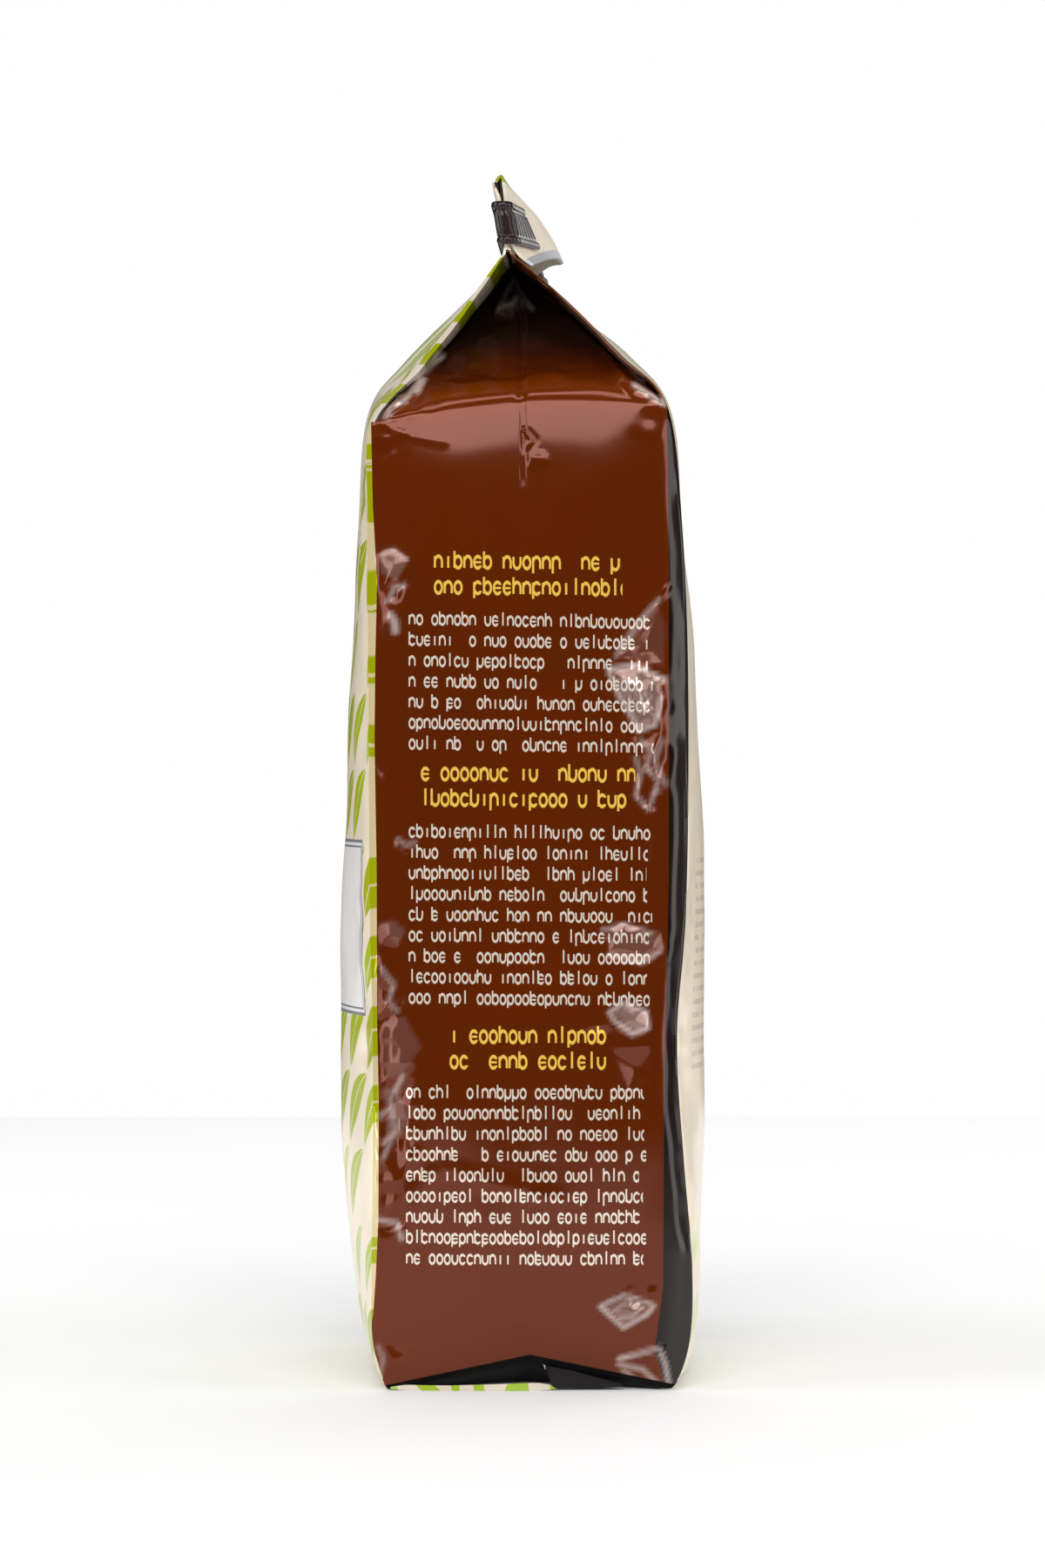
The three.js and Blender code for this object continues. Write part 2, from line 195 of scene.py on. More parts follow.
# Painted highlights where creases and dents of the shown gusset catch the light, each entry a strength and
# its
# pixels: lines, all of one width in pixels but for those listed by their first pixel, and areas by their
# corners.
CREASE_GLINT_WIDTH = 5.5
CREASE_GLINT_LINES = (
    (0.72, (484, 425), (507, 409)), (0.65, (470, 441), (480, 431), (486, 436), (474, 447)),
    (0.58, (474, 447), (462, 462), (448, 466), (445, 478)), (0.33, (440, 470), (466, 444)),
    (0.33, (428, 483), (446, 462)), (0.23, (500, 416), (458, 458)),
    (0.65, (728, 441), (745, 452), (764, 464)), (0.14, (640, 340), (700, 398), (738, 436)),
    (0.2, (590, 320), (574, 353), (588, 350), (597, 336), (611, 354)), (0.17, (590, 320), (600, 346)),
    (0.28, (757, 688), (735, 712), (708, 752)), (0.54, (700, 768), (728, 764), (762, 780)),
    (0.5, (700, 772), (712, 800), (735, 838), (752, 832), (758, 800)),
    (0.33, (716, 778), (722, 800), (738, 816), (748, 800)), (0.33, (728, 790), (734, 806), (742, 796)),
    (0.28, (736, 850), (748, 862), (742, 880), (756, 896), (748, 920)),
    (0.23, (730, 870), (736, 890), (730, 912), (744, 928)), (0.23, (760, 850), (752, 874), (764, 900)),
    (0.5, (449, 707), (453, 714), (454, 724)), (0.23, (440, 636), (452, 632), (462, 640)),
    (0.31, (446, 690), (452, 676), (464, 672)), (0.23, (457, 964), (466, 970), (476, 968)),
    (0.45, (700, 1162), (716, 1152), (742, 1162), (744, 1180), (726, 1186), (706, 1172), (700, 1162)),
    (0.28, (692, 1068), (716, 1062), (748, 1072)), (0.28, (700, 1096), (738, 1104), (758, 1092)),
    (0.23, (438, 1112), (452, 1130), (446, 1150), (456, 1160)),
    (0.28, (437, 1280), (450, 1270), (456, 1296), (442, 1312)),
    (0.28, (462, 1236), (448, 1262), (452, 1300), (440, 1330)),
    (0.33, (434, 1400), (456, 1404), (461, 1422)),
    (0.41, (690, 1500), (716, 1487), (750, 1499), (744, 1508), (716, 1524), (690, 1500)),
    (0.33, (706, 1504), (718, 1496), (734, 1502), (726, 1512), (712, 1512)),
    (0.41, (711, 1560), (740, 1552), (757, 1548), (764, 1566), (768, 1590)),
    (0.33, (711, 1566), (738, 1572), (757, 1590)), (0.28, (716, 1573), (735, 1588)),
    (0.17, (434, 1546), (440, 1560), (436, 1578)),
)
CREASE_GLINT_WIDTHS = {(484, 425): 6.5, (449, 707): 7.5}
GLINT_EDGE_SLOPE = 1.6
DENT_GLINT_AREAS = (
    (0.099, (434, 640), (452, 630), (476, 642), (488, 690), (466, 676), (452, 676), (444, 690)),
    (0.153, (704, 772), (728, 766), (760, 782), (756, 830), (736, 836), (714, 806)),
    (0.032, (706, 756), (756, 690), (766, 720), (764, 766)),
    (0.18, (702, 1162), (718, 1154), (742, 1164), (742, 1180), (726, 1184)),
    (0.063, (692, 1066), (716, 1060), (758, 1070), (762, 1092), (738, 1104), (702, 1096)),
    (0.045, (438, 1170), (466, 1166), (486, 1202), (462, 1236), (440, 1240)),
    (0.09, (440, 1250), (460, 1248), (470, 1290), (444, 1330)),
    (0.135, (692, 1500), (716, 1488), (748, 1500), (716, 1522)),
    (0.063, (436, 1060), (452, 1054), (468, 1068), (456, 1088)),
    (0.7, (468, 450), (476, 428), (492, 434), (482, 454)),
    (0.032, (572, 352), (590, 320), (611, 352), (590, 358)),
    (0.081, (446, 466), (470, 440), (484, 434), (462, 464)),
)

RNG_SEED = 20
CRUMPLE_GAIN = 2.2


# Shapes of the film, in millimetres, with the rules of the CAD solid.


def spline_at(points, share):
    """Points of a Catmull-Rom line through the outline points, at shares 0 to 1 of their count."""
    points = np.asarray(points, float)
    position = np.asarray(share, float) * (len(points) - 1)
    index = np.clip(np.floor(position).astype(int), 0, len(points) - 2)
    t = (position - index)[..., None]
    before = points[np.maximum(index - 1, 0)]
    start, end = points[index], points[index + 1]
    after = points[np.minimum(index + 2, len(points) - 1)]
    v0, v1 = (end - before) / 2, (after - start) / 2
    cubic, square = 2 * start - 2 * end + v0 + v1, -3 * start + 3 * end - 2 * v0 - v1
    return cubic * t**3 + square * t**2 + v0 * t + start


def roll_face(height):
    """Front face's y of the rolled top at its ends."""
    return ROLL_FACE_AT_NECK - ROLL_LEAN * (height - NECK_HEIGHT)


def skewed(points, share=1.0):
    """The points moved towards the back panel, more the farther they lie from the +X end."""
    points = np.array(points)
    points[..., 1] += share * ROLL_SKEW * (1 - points[..., 0] / ROLL_HALF_WIDTH) / 2
    return points


def smooth_step(value, low, high):
    t = np.clip((value - low) / (high - low), 0, 1)
    return t * t * (3 - 2 * t)


def gradient_noise(x, y, seed):
    """Smooth noise from about -1 to 1 over two arrays, one cell a unit."""
    table = np.random.default_rng(seed).normal(size=(64, 64, 2))
    table /= np.linalg.norm(table, axis=2, keepdims=True)
    ix, iy = np.floor(x).astype(int), np.floor(y).astype(int)
    fx, fy = x - ix, y - iy
    wx, wy = fx**3 * (fx * (6 * fx - 15) + 10), fy**3 * (fy * (6 * fy - 15) + 10)

    def corner(dx, dy):
        slope = table[(ix + dx) % 64, (iy + dy) % 64]
        return slope[..., 0] * (fx - dx) + slope[..., 1] * (fy - dy)

    low = corner(0, 0) + (corner(1, 0) - corner(0, 0)) * wx
    high = corner(0, 1) + (corner(1, 1) - corner(0, 1)) * wx
    return 1.5 * (low + (high - low) * wy)


def crumple_noise(x, y, seed):
    """Flat facets between sharp folds, as creased film has: the nearest of scattered cones."""
    jitters = np.random.default_rng(seed).random((64, 64, 3))
    best = np.full(x.shape, 9.0)
    for dx in (-1, 0, 1):
        for dy in (-1, 0, 1):
            ix, iy = np.floor(x).astype(int) + dx, np.floor(y).astype(int) + dy
            jitter = jitters[ix % 64, iy % 64]
            reach = np.hypot(x - ix - jitter[..., 0], y - iy - jitter[..., 1])
            best = np.minimum(best, reach + 0.3 * jitter[..., 2])
    return best - 0.5


def pixel_place(px, py):
    """(y, z) in millimetres on the shown gusset of a pixel of the photograph."""
    return (px - CENTRE_PIXEL_X) * MM_PER_PIXEL, (FLOOR_PIXEL_Y - py) * MM_PER_PIXEL


def seen_place(points):
    """(y, z) on the gusset's plane where the camera of the photograph sees each point."""
    shrink = CAMERA_DISTANCE / (CAMERA_DISTANCE + GUSSET_PLANE - points[..., 0])
    return points[..., 1] * shrink, EYE_HEIGHT + (points[..., 2] - EYE_HEIGHT) * shrink


def facet_height(y, z, corners, height, slope):
    """A flat-topped rise or dent with straight sides over a polygon of pixels."""
    places = [pixel_place(*corner) for corner in corners]
    depth = np.full(y.shape, np.inf)
    for (y0, z0), (y1, z1) in zip(places, places[1:] + places[:1]):
        length = math.hypot(y1 - y0, z1 - z0)
        side = ((z - z0) * (y1 - y0) - (y - y0) * (z1 - z0)) / length
        depth = np.minimum(depth, -side)
    middle = np.mean(places, axis=0)
    if facet_is_reversed(places, middle):
        return facet_height(y, z, corners[::-1], height, slope)
    rise = np.clip(depth * slope, 0, abs(height))
    return math.copysign(1, height) * rise


def facet_is_reversed(places, middle):
    (y0, z0), (y1, z1) = places[0], places[1]
    return ((middle[1] - z0) * (y1 - y0) - (middle[0] - y0) * (z1 - z0)) > 0


def line_reach(y, z, start, end):
    """How far along a line between two pixels each place lies, as a share, and how far off it."""
    (y0, z0), (y1, z1) = pixel_place(*start), pixel_place(*end)
    length = math.hypot(y1 - y0, z1 - z0)
    along = ((y - y0) * (y1 - y0) + (z - z0) * (z1 - z0)) / length**2
    within = np.clip(along, 0, 1)
    return along, np.hypot(y - y0 - within * (y1 - y0), z - z0 - within * (z1 - z0))


def line_height(y, z, start, end, depth, width):
    """A fold line between two pixels, fading at its ends."""
    along, off = line_reach(y, z, start, end)
    fade = smooth_step(along, -0.05, 0.12) * (1 - smooth_step(along, 0.88, 1.05))
    return depth * np.clip(1 - off / width, 0, 1) * fade


def painted_glint_share(points, side):
    """Share of painted highlight at each point of the shown gusset, along creases and over dents, 0 to 1."""
    y, z = seen_place(points)
    worn = np.zeros(y.shape)
    for strength, *corners in DENT_GLINT_AREAS:
        worn = np.maximum(worn, strength * np.abs(facet_height(y, z, corners, 1.0, GLINT_EDGE_SLOPE)))
    for strength, *places in CREASE_GLINT_LINES:
        width = CREASE_GLINT_WIDTHS.get(places[0], CREASE_GLINT_WIDTH) * MM_PER_PIXEL
        for start, end in zip(places, places[1:]):
            off = line_reach(y, z, start, end)[1]
            worn = np.maximum(worn, strength * (1 - smooth_step(off, 0, width)))
    return np.where((side[None, :] > 0) & (side[None, :] < 1), worn, 0.0)


class FilmShape:
    """The bag's film as a grid of columns round the bag and rows up it."""

    def __init__(self, sizes):
        self.gusset_steps = sizes.gusset_steps
        self.panel_steps = sizes.panel_steps
        self.rows_wanted = sizes.film_rows
        self.lip = sizes.lip_thickness / MM
        self.hem_rise = sizes.hem_rise / MM
        self.hem_drop = sizes.hem_drop / MM
        self.notch_depth = sizes.notch_depth / MM
        self.fold_depth = sizes.gusset_fold / MM
        self.roll_half_width = sizes.roll_width / MM / 2
        self.roll_top = sizes.roll_top / MM
        self.roll_thickness = sizes.roll_thickness / MM

    def stations(self):
        """Station of every row, closer where the outline points lie far apart."""
        middle = np.array(OUTLINE["front_middle"])
        lengths = np.hypot(*np.diff(middle, axis=0).T)
        shares = np.maximum(2, np.round(self.rows_wanted * lengths / lengths.sum()).astype(int))
        rows = [k + np.arange(n) / n for k, n in enumerate(shares)]
        return np.append(np.concatenate(rows), NECK_STATION)

    def gusset_columns(self):
        """Share across the gusset of each floor point, evenly spaced from lip to lip."""
        return np.linspace(0, 1, self.gusset_steps + 1)

    def ring(self, lines, corner, lip, front_lip, inset, bulge, valley, notch, hem, arch):
        """Rows of ring points: front corner, gusset, back corner, back panel, far gusset, front panel."""
        front, back = lines["front_crease"], lines["back_crease"]
        share = self.gusset_columns()[None, :]
        across = 2 * share - 1
        front_floor = front[:, :1] + front_lip[:, None] + LIP_GAP
        y = front_floor * (1 - share) + (back[:, :1] - lip[:, None] - LIP_GAP) * share
        dip = np.exp(-((across * VALLEY_SHARPNESS) ** 2))
        x = (corner - inset)[:, None] - notch[:, None] * (1 - np.abs(across) ** NOTCH_POWER)
        x = x + bulge - valley[:, None] * dip
        hem_shape = self.hem_rise * (1 - np.abs(across)) - self.hem_drop * np.abs(across)
        z = front[:, 1:] * (1 - share) + back[:, 1:] * share
        z = z + hem[:, None] * hem_shape + arch[:, None] * (1 - across**2)
        floor = np.stack([x, y, z], axis=2)

        def corner_point(line, shift):
            return np.stack([corner, line[:, 0] + shift, line[:, 1]], axis=1)[:, None, :]

        gusset = np.concatenate(
            [
                corner_point(front, 0), corner_point(front, front_lip), floor,
                corner_point(back, -lip), corner_point(back, 0),
            ],
            axis=1,
        )
        far_gusset = (gusset * np.array([-1, 1, 1]))[:, ::-1]
        s = np.linspace(1, -1, self.panel_steps + 1)[1:-1][None, :]
        crown = 1 - np.abs(s) ** CROWN_POWER

        def panel(crease, middle):
            y = crease[:, :1] * (1 - crown) + middle[:, :1] * crown
            z = crease[:, 1:] * (1 - crown) + middle[:, 1:] * crown
            return np.stack([s * corner[:, None], y, z], axis=2)

        back_panel = panel(back, lines["back_middle"])
        front_panel = panel(front, lines["front_middle"])[:, ::-1]
        ring = np.concatenate([gusset, back_panel, far_gusset, front_panel], axis=1)
        return np.concatenate([ring, ring[:, :1]], axis=1)

    def body(self):
        """Grid points of the body from the base to the neck, and the station of each row."""
        station = self.stations()
        lines = {name: spline_at(points, station / NECK_STATION) for name, points in OUTLINE.items()}
        whole = np.arange(NECK_STATION + 1)
        folded = np.clip((station - SHOULDER_STATION) / (NECK_STATION - SHOULDER_STATION), 0, 1)
        notched = np.clip(1 - station / HEM_STATION, 0, 1)
        below = station / HEM_STATION
        above = np.clip(1 - (station - HEM_STATION) / HEM_FADE_STATIONS, 0, 1)
        hemmed = np.where(station <= HEM_STATION, below, above)
        lip = np.full(len(station), self.lip)
        across = 2 * self.gusset_columns()[None, :] - 1
        start = PULL_START - PULL_DIP * (1 - np.abs(across))
        pull = np.clip((station[:, None] - start) / (SHOULDER_STATION - start), 0, 1) ** 2
        pull = pull * np.clip(SHOULDER_STATION + 1 - station, 0, 1)[:, None] ** 2
        swell = spline_at(np.array(GUSSET_SWELL)[:, None], station / NECK_STATION)
        bulge = (swell - SHOULDER_PULL * pull) * (1 - across**2)
        points = self.ring(
            lines,
            np.interp(station, whole, CORNER_X),
            lip,
            lip + ROOF_HEM * np.interp(station, ROOF_HEM_STATIONS, (0, 1, 1, 0)),
            self.fold_depth * folded,
            bulge,
            np.where(station > SHOULDER_STATION, VALLEY_DEPTH, 0.0),
            self.notch_depth * notched,
            hemmed,
            SHOULDER_ARCH * np.clip(1 - np.abs(station - SHOULDER_STATION), 0, 1),
        )
        return skewed(points, folded[:, None]), station

    def roll(self):
        """Grid points of the flat film stack above the neck."""
        first, second = ROLL_FIRST_ROWS
        heights = np.concatenate([ROLL_FIRST_ROWS, np.linspace(second + 1, self.roll_top, ROLL_ROWS)])
        thickness = np.interp(heights, (first, second, FLARE_START), (1.4, 1.0, self.roll_thickness))
        flare = smooth_step(heights, FLARE_START, self.roll_top)
        thickness += (ROLL_TOP_THICKNESS - self.roll_thickness) * flare
        middle = roll_face(heights) + self.roll_thickness / 2
        lift = np.interp(heights, (first, second, self.roll_top), (0.6, 0.2, 0))
        wave = 0.1 * np.sin(heights * 1.7)
        lines = {
            "front_crease": np.stack([middle - thickness / 2, heights], 1),
            "front_middle": np.stack([middle - thickness / 2 - ROLL_CROWN + wave, heights + lift], 1),
            "back_crease": np.stack([middle + thickness / 2, heights], 1),
            "back_middle": np.stack([middle + thickness / 2 + ROLL_CROWN + wave, heights + lift], 1),
        }
        zero = np.zeros(len(heights))
        width = np.full(len(heights), self.roll_half_width)
        across = 2 * self.gusset_columns()[None, :] - 1
        bulge = 0.1 * (1 - across**2) + 0 * width[:, None]
        points = self.ring(lines, width, thickness / 4, thickness / 4, zero, bulge, zero, zero, zero, zero)
        return skewed(points), NECK_STATION + (heights - NECK_HEIGHT) / ROLL_MM_PER_STATION

    def grid(self):
        """All rows of the film with its dents, and the print position of every point."""
        body, body_station = self.body()
        roll, roll_station = self.roll()
        body = self.dented(body, body_station)
        return np.concatenate([body, roll]), np.concatenate([body_station, roll_station])

    def side_of_columns(self):
        """Where each column lies round the bag: 0 to 1 over the shown gusset, then the back
        panel to 2, the far gusset to 3 and the front panel to 4."""
        gusset = np.concatenate([[0, 0.006], 0.012 + 0.976 * self.gusset_columns(), [0.994, 1]])
        panel = np.linspace(0, 1, self.panel_steps + 1)[1:-1]
        return np.concatenate([gusset, 1 + panel, 2 + gusset, 3 + panel, [4]])

    def dented(self, points, station):
        """The grid pushed in and out by the dents, folds and crumples of the filled film."""
        side = self.side_of_columns()[None, :] + 0 * points[..., 0]
        rows = station[:, None] + 0 * points[..., 0]
        normals = grid_normals(points)
        x, y, z = points[..., 0], points[..., 1], points[..., 2]
        height = np.zeros(x.shape)

        shown = (side < 1.0) & (side > 0.0)
        edge = np.clip(side / 0.04, 0, 1) * np.clip((1 - side) / 0.04, 0, 1)
        seen_y, seen_z = seen_place(points)
        wall = smooth_step(rows, 2.0, 2.6) * (1 - smooth_step(rows, 10.0, 10.35))
        wall_or_roof = smooth_step(rows, 2.0, 2.6) * (1 - smooth_step(rows, 12.5, 13))
        gusset = np.zeros(x.shape)
        for corners, rise, slope in GUSSET_FACETS:
            gusset += facet_height(seen_y, seen_z, corners, rise, slope)
        for start, end, depth, width in GUSSET_LINES:
            gusset += line_height(seen_y, seen_z, start, end, depth, width)
        sharp = CRUMPLE_GAIN * crumple_noise(seen_y / 4.2 + 9, seen_z / 5.0, RNG_SEED)
        for (px, py), (half_y, half_z), rise in GUSSET_CRUMPLES:
            y0, z0 = pixel_place(px, py)
            half_y, half_z = half_y * MM_PER_PIXEL, half_z * MM_PER_PIXEL
            reach = np.hypot((seen_y - y0) / half_y, (seen_z - z0) / half_z)
            gusset += rise * sharp * (1 - smooth_step(reach, 0.3, 1.25))
        near_edge = np.clip(edge + 0.35, 0, 1)
        height += np.where(shown, gusset * near_edge * wall_or_roof, 0)
        broad = gradient_noise(y / 23 + 3, z / 38 + 1, 4) * 0.35
        broad += gradient_noise(y / 9 + 7, z / 17 + 5, 5) * 0.07
        height += np.where(shown, broad * near_edge * wall, 0)

        roof = smooth_step(rows, 10.25, 10.6) * (1 - smooth_step(rows, 12.3, 13))
        fold = crumple_noise(y / 6 + 3, rows * 3.1, RNG_SEED + 5) * 0.5
        fold += gradient_noise(y / 12, rows * 1.7, 8) * 0.7
        height += np.where(shown, fold * roof * edge, 0)

        far = (side > 2.0) & (side < 3.0)
        far_noise = gradient_noise(y / 17 + 4, z / 30, 11) * 0.5
        far_edge = np.clip((side - 2) / 0.1, 0, 1) * np.clip((3 - side) / 0.1, 0, 1)
        rough = smooth_step(gradient_noise(y / 26 + 2, z / 40 + 7, 12), 0.05, 0.5)
        far_noise += crumple_noise(y / 5.5, z / 6.5, RNG_SEED + 9) * rough
        height += np.where(far, far_noise * far_edge * wall, 0)

        on_panel = ((side > 1.0) & (side < 2.0)) | (side > 3.0)
        s = np.clip(np.abs(x) / CORNER_X[SHOULDER_STATION], 0, 1)
        panel_edge = np.clip((1 - s) / 0.12, 0, 1)
        seed_shift = np.where(side < 2.0, 40.0, 0.0)
        panel = gradient_noise(x / 24 + seed_shift, z / 34 + 2, 14) * 0.7
        panel += gradient_noise(x / 8 + seed_shift, z / 13, 15) * 0.12
        patches = gradient_noise(x * 0 + seed_shift, z / 22 + 3, 16)
        corner_mask = smooth_step(s, 0.62, 0.95) * smooth_step(patches, -0.3, 0.5)
        panel += crumple_noise(x / 5.5 + seed_shift, z / 7.0, RNG_SEED + 13) * 1.1 * corner_mask
        upper = smooth_step(rows, 2.0, 3.0) * (1 - smooth_step(rows, 12.2, 13))
        height += np.where(on_panel, panel * panel_edge * upper, 0)

        points = points + normals * height[..., None]
        return self.turned_corner(points, side, rows)

    def turned_corner(self, points, side, rows):
        """Rolls the corner folds at the back panel over a little, as the dark band there shows."""
        depth = smooth_step(rows, 2.2, 3.5) * (1 - smooth_step(rows, 9.2, 10.4))
        depth = depth * (0.75 + 0.35 * gradient_noise(rows * 2.3, rows * 0, 23))
        near = np.exp(-(((side - 1.0) / np.where(side < 1, 0.034, 0.05)) ** 2))
        far = np.exp(-(((side - 2.0) / np.where(side < 2, 0.05, 0.055)) ** 2))
        points = points.copy()
        points[..., 0] -= depth * near
        points[..., 0] += depth * far
        return points


def grid_normals(points):
    """Outward normals of a grid whose columns run round a ring and whose rows run up."""
    ahead = np.roll(points[:, :-1], -1, axis=1)
    behind = np.roll(points[:, :-1], 1, axis=1)
    around = np.concatenate([ahead - behind, (ahead - behind)[:, :1]], axis=1)
    up = np.gradient(points, axis=0)
    normal = np.cross(around, up)
    return normal / np.maximum(np.linalg.norm(normal, axis=2, keepdims=True), 1e-9)


# Turning grids of points into Blender pieces.


WELD_DISTANCE = 2e-6


def deselect_all():
    for other in bpy.context.selected_objects:
        other.select_set(False)


def grid_piece(name, points, uv, worn=None):
    """A grid primitive laid over points, merged where its columns meet and closed at both ends."""
    rows, columns = points.shape[:2]
    deselect_all()
    bpy.ops.mesh.primitive_grid_add(x_subdivisions=columns - 1, y_subdivisions=rows - 1, size=1)
    piece = bpy.context.object
    piece.name = name
    piece.data.name = name
    piece.location = (0, 0, 0)
    mesh = piece.data
    if len(mesh.vertices) != rows * columns:
        raise RuntimeError(f"{name}: the grid has {len(mesh.vertices)} points, not {rows * columns}")
    mesh.vertices.foreach_set("co", (points * MM).reshape(-1))
    layer = mesh.uv_layers[0]
    layer.name = "print"
    loops = np.empty(len(mesh.loops), dtype=np.int32)
    mesh.loops.foreach_get("vertex_index", loops)
    layer.uv.foreach_set("vector", uv.reshape(-1, 2)[loops].reshape(-1))
    if worn is not None:
        mesh.attributes.new("worn", "FLOAT", "POINT").data.foreach_set("value", worn.reshape(-1))
    mesh.update()
    bpy.ops.object.mode_set(mode="EDIT")
    bpy.ops.mesh.select_mode(type="VERT")
    bpy.ops.mesh.select_all(action="SELECT")
    bpy.ops.mesh.remove_doubles(threshold=WELD_DISTANCE)
    bpy.ops.mesh.select_all(action="DESELECT")
    bpy.ops.mesh.select_non_manifold(
        extend=False, use_wire=False, use_multi_face=False, use_non_contiguous=False)
    bpy.ops.mesh.fill_holes(sides=0)
    bpy.ops.mesh.select_all(action="SELECT")
    bpy.ops.mesh.normals_make_consistent(inside=False)
    bpy.ops.object.mode_set(mode="OBJECT")
    return piece


def finish_piece(piece, material, angle=40):
    """Smooths a piece, gives it its material and ties it to the CAD frame."""
    deselect_all()
    piece.select_set(True)
    bpy.context.view_layer.objects.active = piece
    bpy.ops.object.shade_smooth_by_angle(angle=math.radians(angle))
    piece.data.materials.clear()
    piece.data.materials.append(material)
    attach(piece, "root")


# Shader maths.


class Wire:
    """A shader socket that can be used in Python sums."""

    def __init__(self, shader, socket):
        self.shader = shader
        self.socket = socket

    def maths(self, operation, *others):
        return self.shader.node("ShaderNodeMath", {"operation": operation}, dict(enumerate((self, *others))))

    def __add__(self, other):
        return self.maths("ADD", other)

    def __sub__(self, other):
        return self.maths("SUBTRACT", other)

    def __mul__(self, other):
        return self.maths("MULTIPLY", other)

    def __truediv__(self, other):
        return self.maths("DIVIDE", other)

    def __rsub__(self, other):
        return self.shader.number("SUBTRACT", other, self)

    __radd__ = __add__
    __rmul__ = __mul__

    def above(self, limit):
        return self.maths("GREATER_THAN", limit)

    def below(self, limit):
        return self.maths("LESS_THAN", limit)

    def absolute(self):
        return self.maths("ABSOLUTE")

    def floor(self):
        return self.maths("FLOOR")

    def fraction(self):
        return self.maths("FRACT")

    def smallest(self, other):
        return self.maths("MINIMUM", other)

    def largest(self, other):
        return self.maths("MAXIMUM", other)

    def ramp(self, low, high):
        """0 at low, 1 at high and smooth between."""
        settings = {"interpolation_type": "SMOOTHSTEP", "clamp": True}
        sockets = {"Value": self, "From Min": low, "From Max": high}
        return self.shader.node("ShaderNodeMapRange", settings, sockets)

    def between(self, low, high, soft=0.05):
        return self.ramp(low - soft, low + soft) * (1.0 - self.ramp(high - soft, high + soft))


class Shader:
    """A node material being built."""

    def __init__(self, name):
        self.material = bpy.data.materials.new(name)
        self.material.use_nodes = True
        self.tree = self.material.node_tree
        self.surface = self.tree.nodes["Principled BSDF"]

    def node(self, kind, settings=None, sockets=None, output=0):
        node = self.tree.nodes.new(kind)
        for key, value in (settings or {}).items():
            if key == "stops":
                self.set_stops(node, value)
            else:
                setattr(node, key, value)
        for key, value in (sockets or {}).items():
            self.join(node.inputs[key], value)
        return Wire(self, node.outputs[output])

    def set_stops(self, node, stops):
        elements = node.color_ramp.elements
        while len(elements) < len(stops):
            elements.new(0.5)
        for element, (position, colour) in zip(elements, stops):
            element.position = position
            element.color = (*colour, 1)

    def join(self, socket, value):
        if isinstance(value, Wire):
            self.tree.links.new(value.socket, socket)
        elif isinstance(value, (tuple, list)) and socket.type == "RGBA" and len(value) == 3:
            socket.default_value = (*value, 1)
        else:
            socket.default_value = value

    def number(self, operation, first, second):
        return self.node("ShaderNodeMath", {"operation": operation}, {0: first, 1: second})

    def place(self):
        """Object coordinates in millimetres, as x, y and z wires."""
        coordinates = self.node("ShaderNodeTexCoord", output=3)
        node = self.node("ShaderNodeSeparateXYZ", sockets={0: coordinates}).socket.node
        return [Wire(self, node.outputs[i]) * 1000.0 for i in range(3)]

    def print_place(self):
        """The print map: where round the bag and at which station of its film."""
        uv = self.node("ShaderNodeUVMap", {"uv_map": "print"})
        node = self.node("ShaderNodeSeparateXYZ", sockets={0: uv}).socket.node
        return Wire(self, node.outputs[0]), Wire(self, node.outputs[1]) * STATIONS_PER_UV

    def point(self, x, y, z=0.0):
        return self.node("ShaderNodeCombineXYZ", sockets={0: x, 1: y, 2: z})

    def blend(self, share, below, above):
        """Colour below where share is 0 and above where it is 1."""
        settings = {"data_type": "RGBA", "blend_type": "MIX"}
        return self.node("ShaderNodeMix", settings, {0: share, 6: below, 7: above}, output=2)

    def noise(self, scale, detail, roughness):
        sockets = {"Scale": scale, "Detail": detail, "Roughness": roughness}
        sockets["Vector"] = self.node("ShaderNodeTexCoord", output=3)
        return self.node("ShaderNodeTexNoise", sockets=sockets)

    def random(self, at):
        return self.node("ShaderNodeTexWhiteNoise", {"noise_dimensions": "3D"}, {"Vector": at})

    def bump(self, height, strength, distance):
        sockets = {"Height": height, "Strength": strength, "Distance": distance}
        return self.node("ShaderNodeBump", sockets=sockets)

    def finish(self, **sockets):
        for name, value in sockets.items():
            self.join(self.surface.inputs[name.replace("_", " ")], value)
        return self.material


STATIONS_PER_UV = 20.0

# Blocks of rows in the gusset's print, from the top down, in the photograph's pixels: first row's
# top, number of rows, left and right end and how far a row falls towards its right end.
HEADINGS = ((630, 2, 498, 716, 0.012), (873, 2, 483, 732, 0.008), (1174, 2, 516, 702, 0.004))
PARAGRAPHS = ((699, 7, 469, 752, 0.018), (943, 9, 469, 750, 0.010), (1242, 9, 466, 742, 0.003))
# Pitch of the rows and height of a small letter in pixels, then the letters' spacing and stroke in
# millimetres.
HEADING_TYPE = (29.2, 13.2, 2.1, 0.44)
PARAGRAPH_TYPE = (23.8, 10.4, 1.62, 0.31)
# Left and right edge of the brown print as (row, column) pixels.
BROWN_LEFT = (
    (486, 426), (580, 428), (667, 433), (750, 431), (850, 430), (1000, 432.5), (1172, 433), (1265, 435),
    (1399, 434.5), (1464, 431.5), (1508, 428.5), (1525, 425.5), (1549, 429), (1584, 440),
)
BROWN_RIGHT = (
    (465, 766), (607, 767.5), (700, 768), (1000, 768), (1076, 766.4), (1191, 763.5), (1300, 762.5),
    (1475, 761.5), (1518, 756), (1549, 752), (1592, 764),
)


RAMP_HEIGHT = 260.0


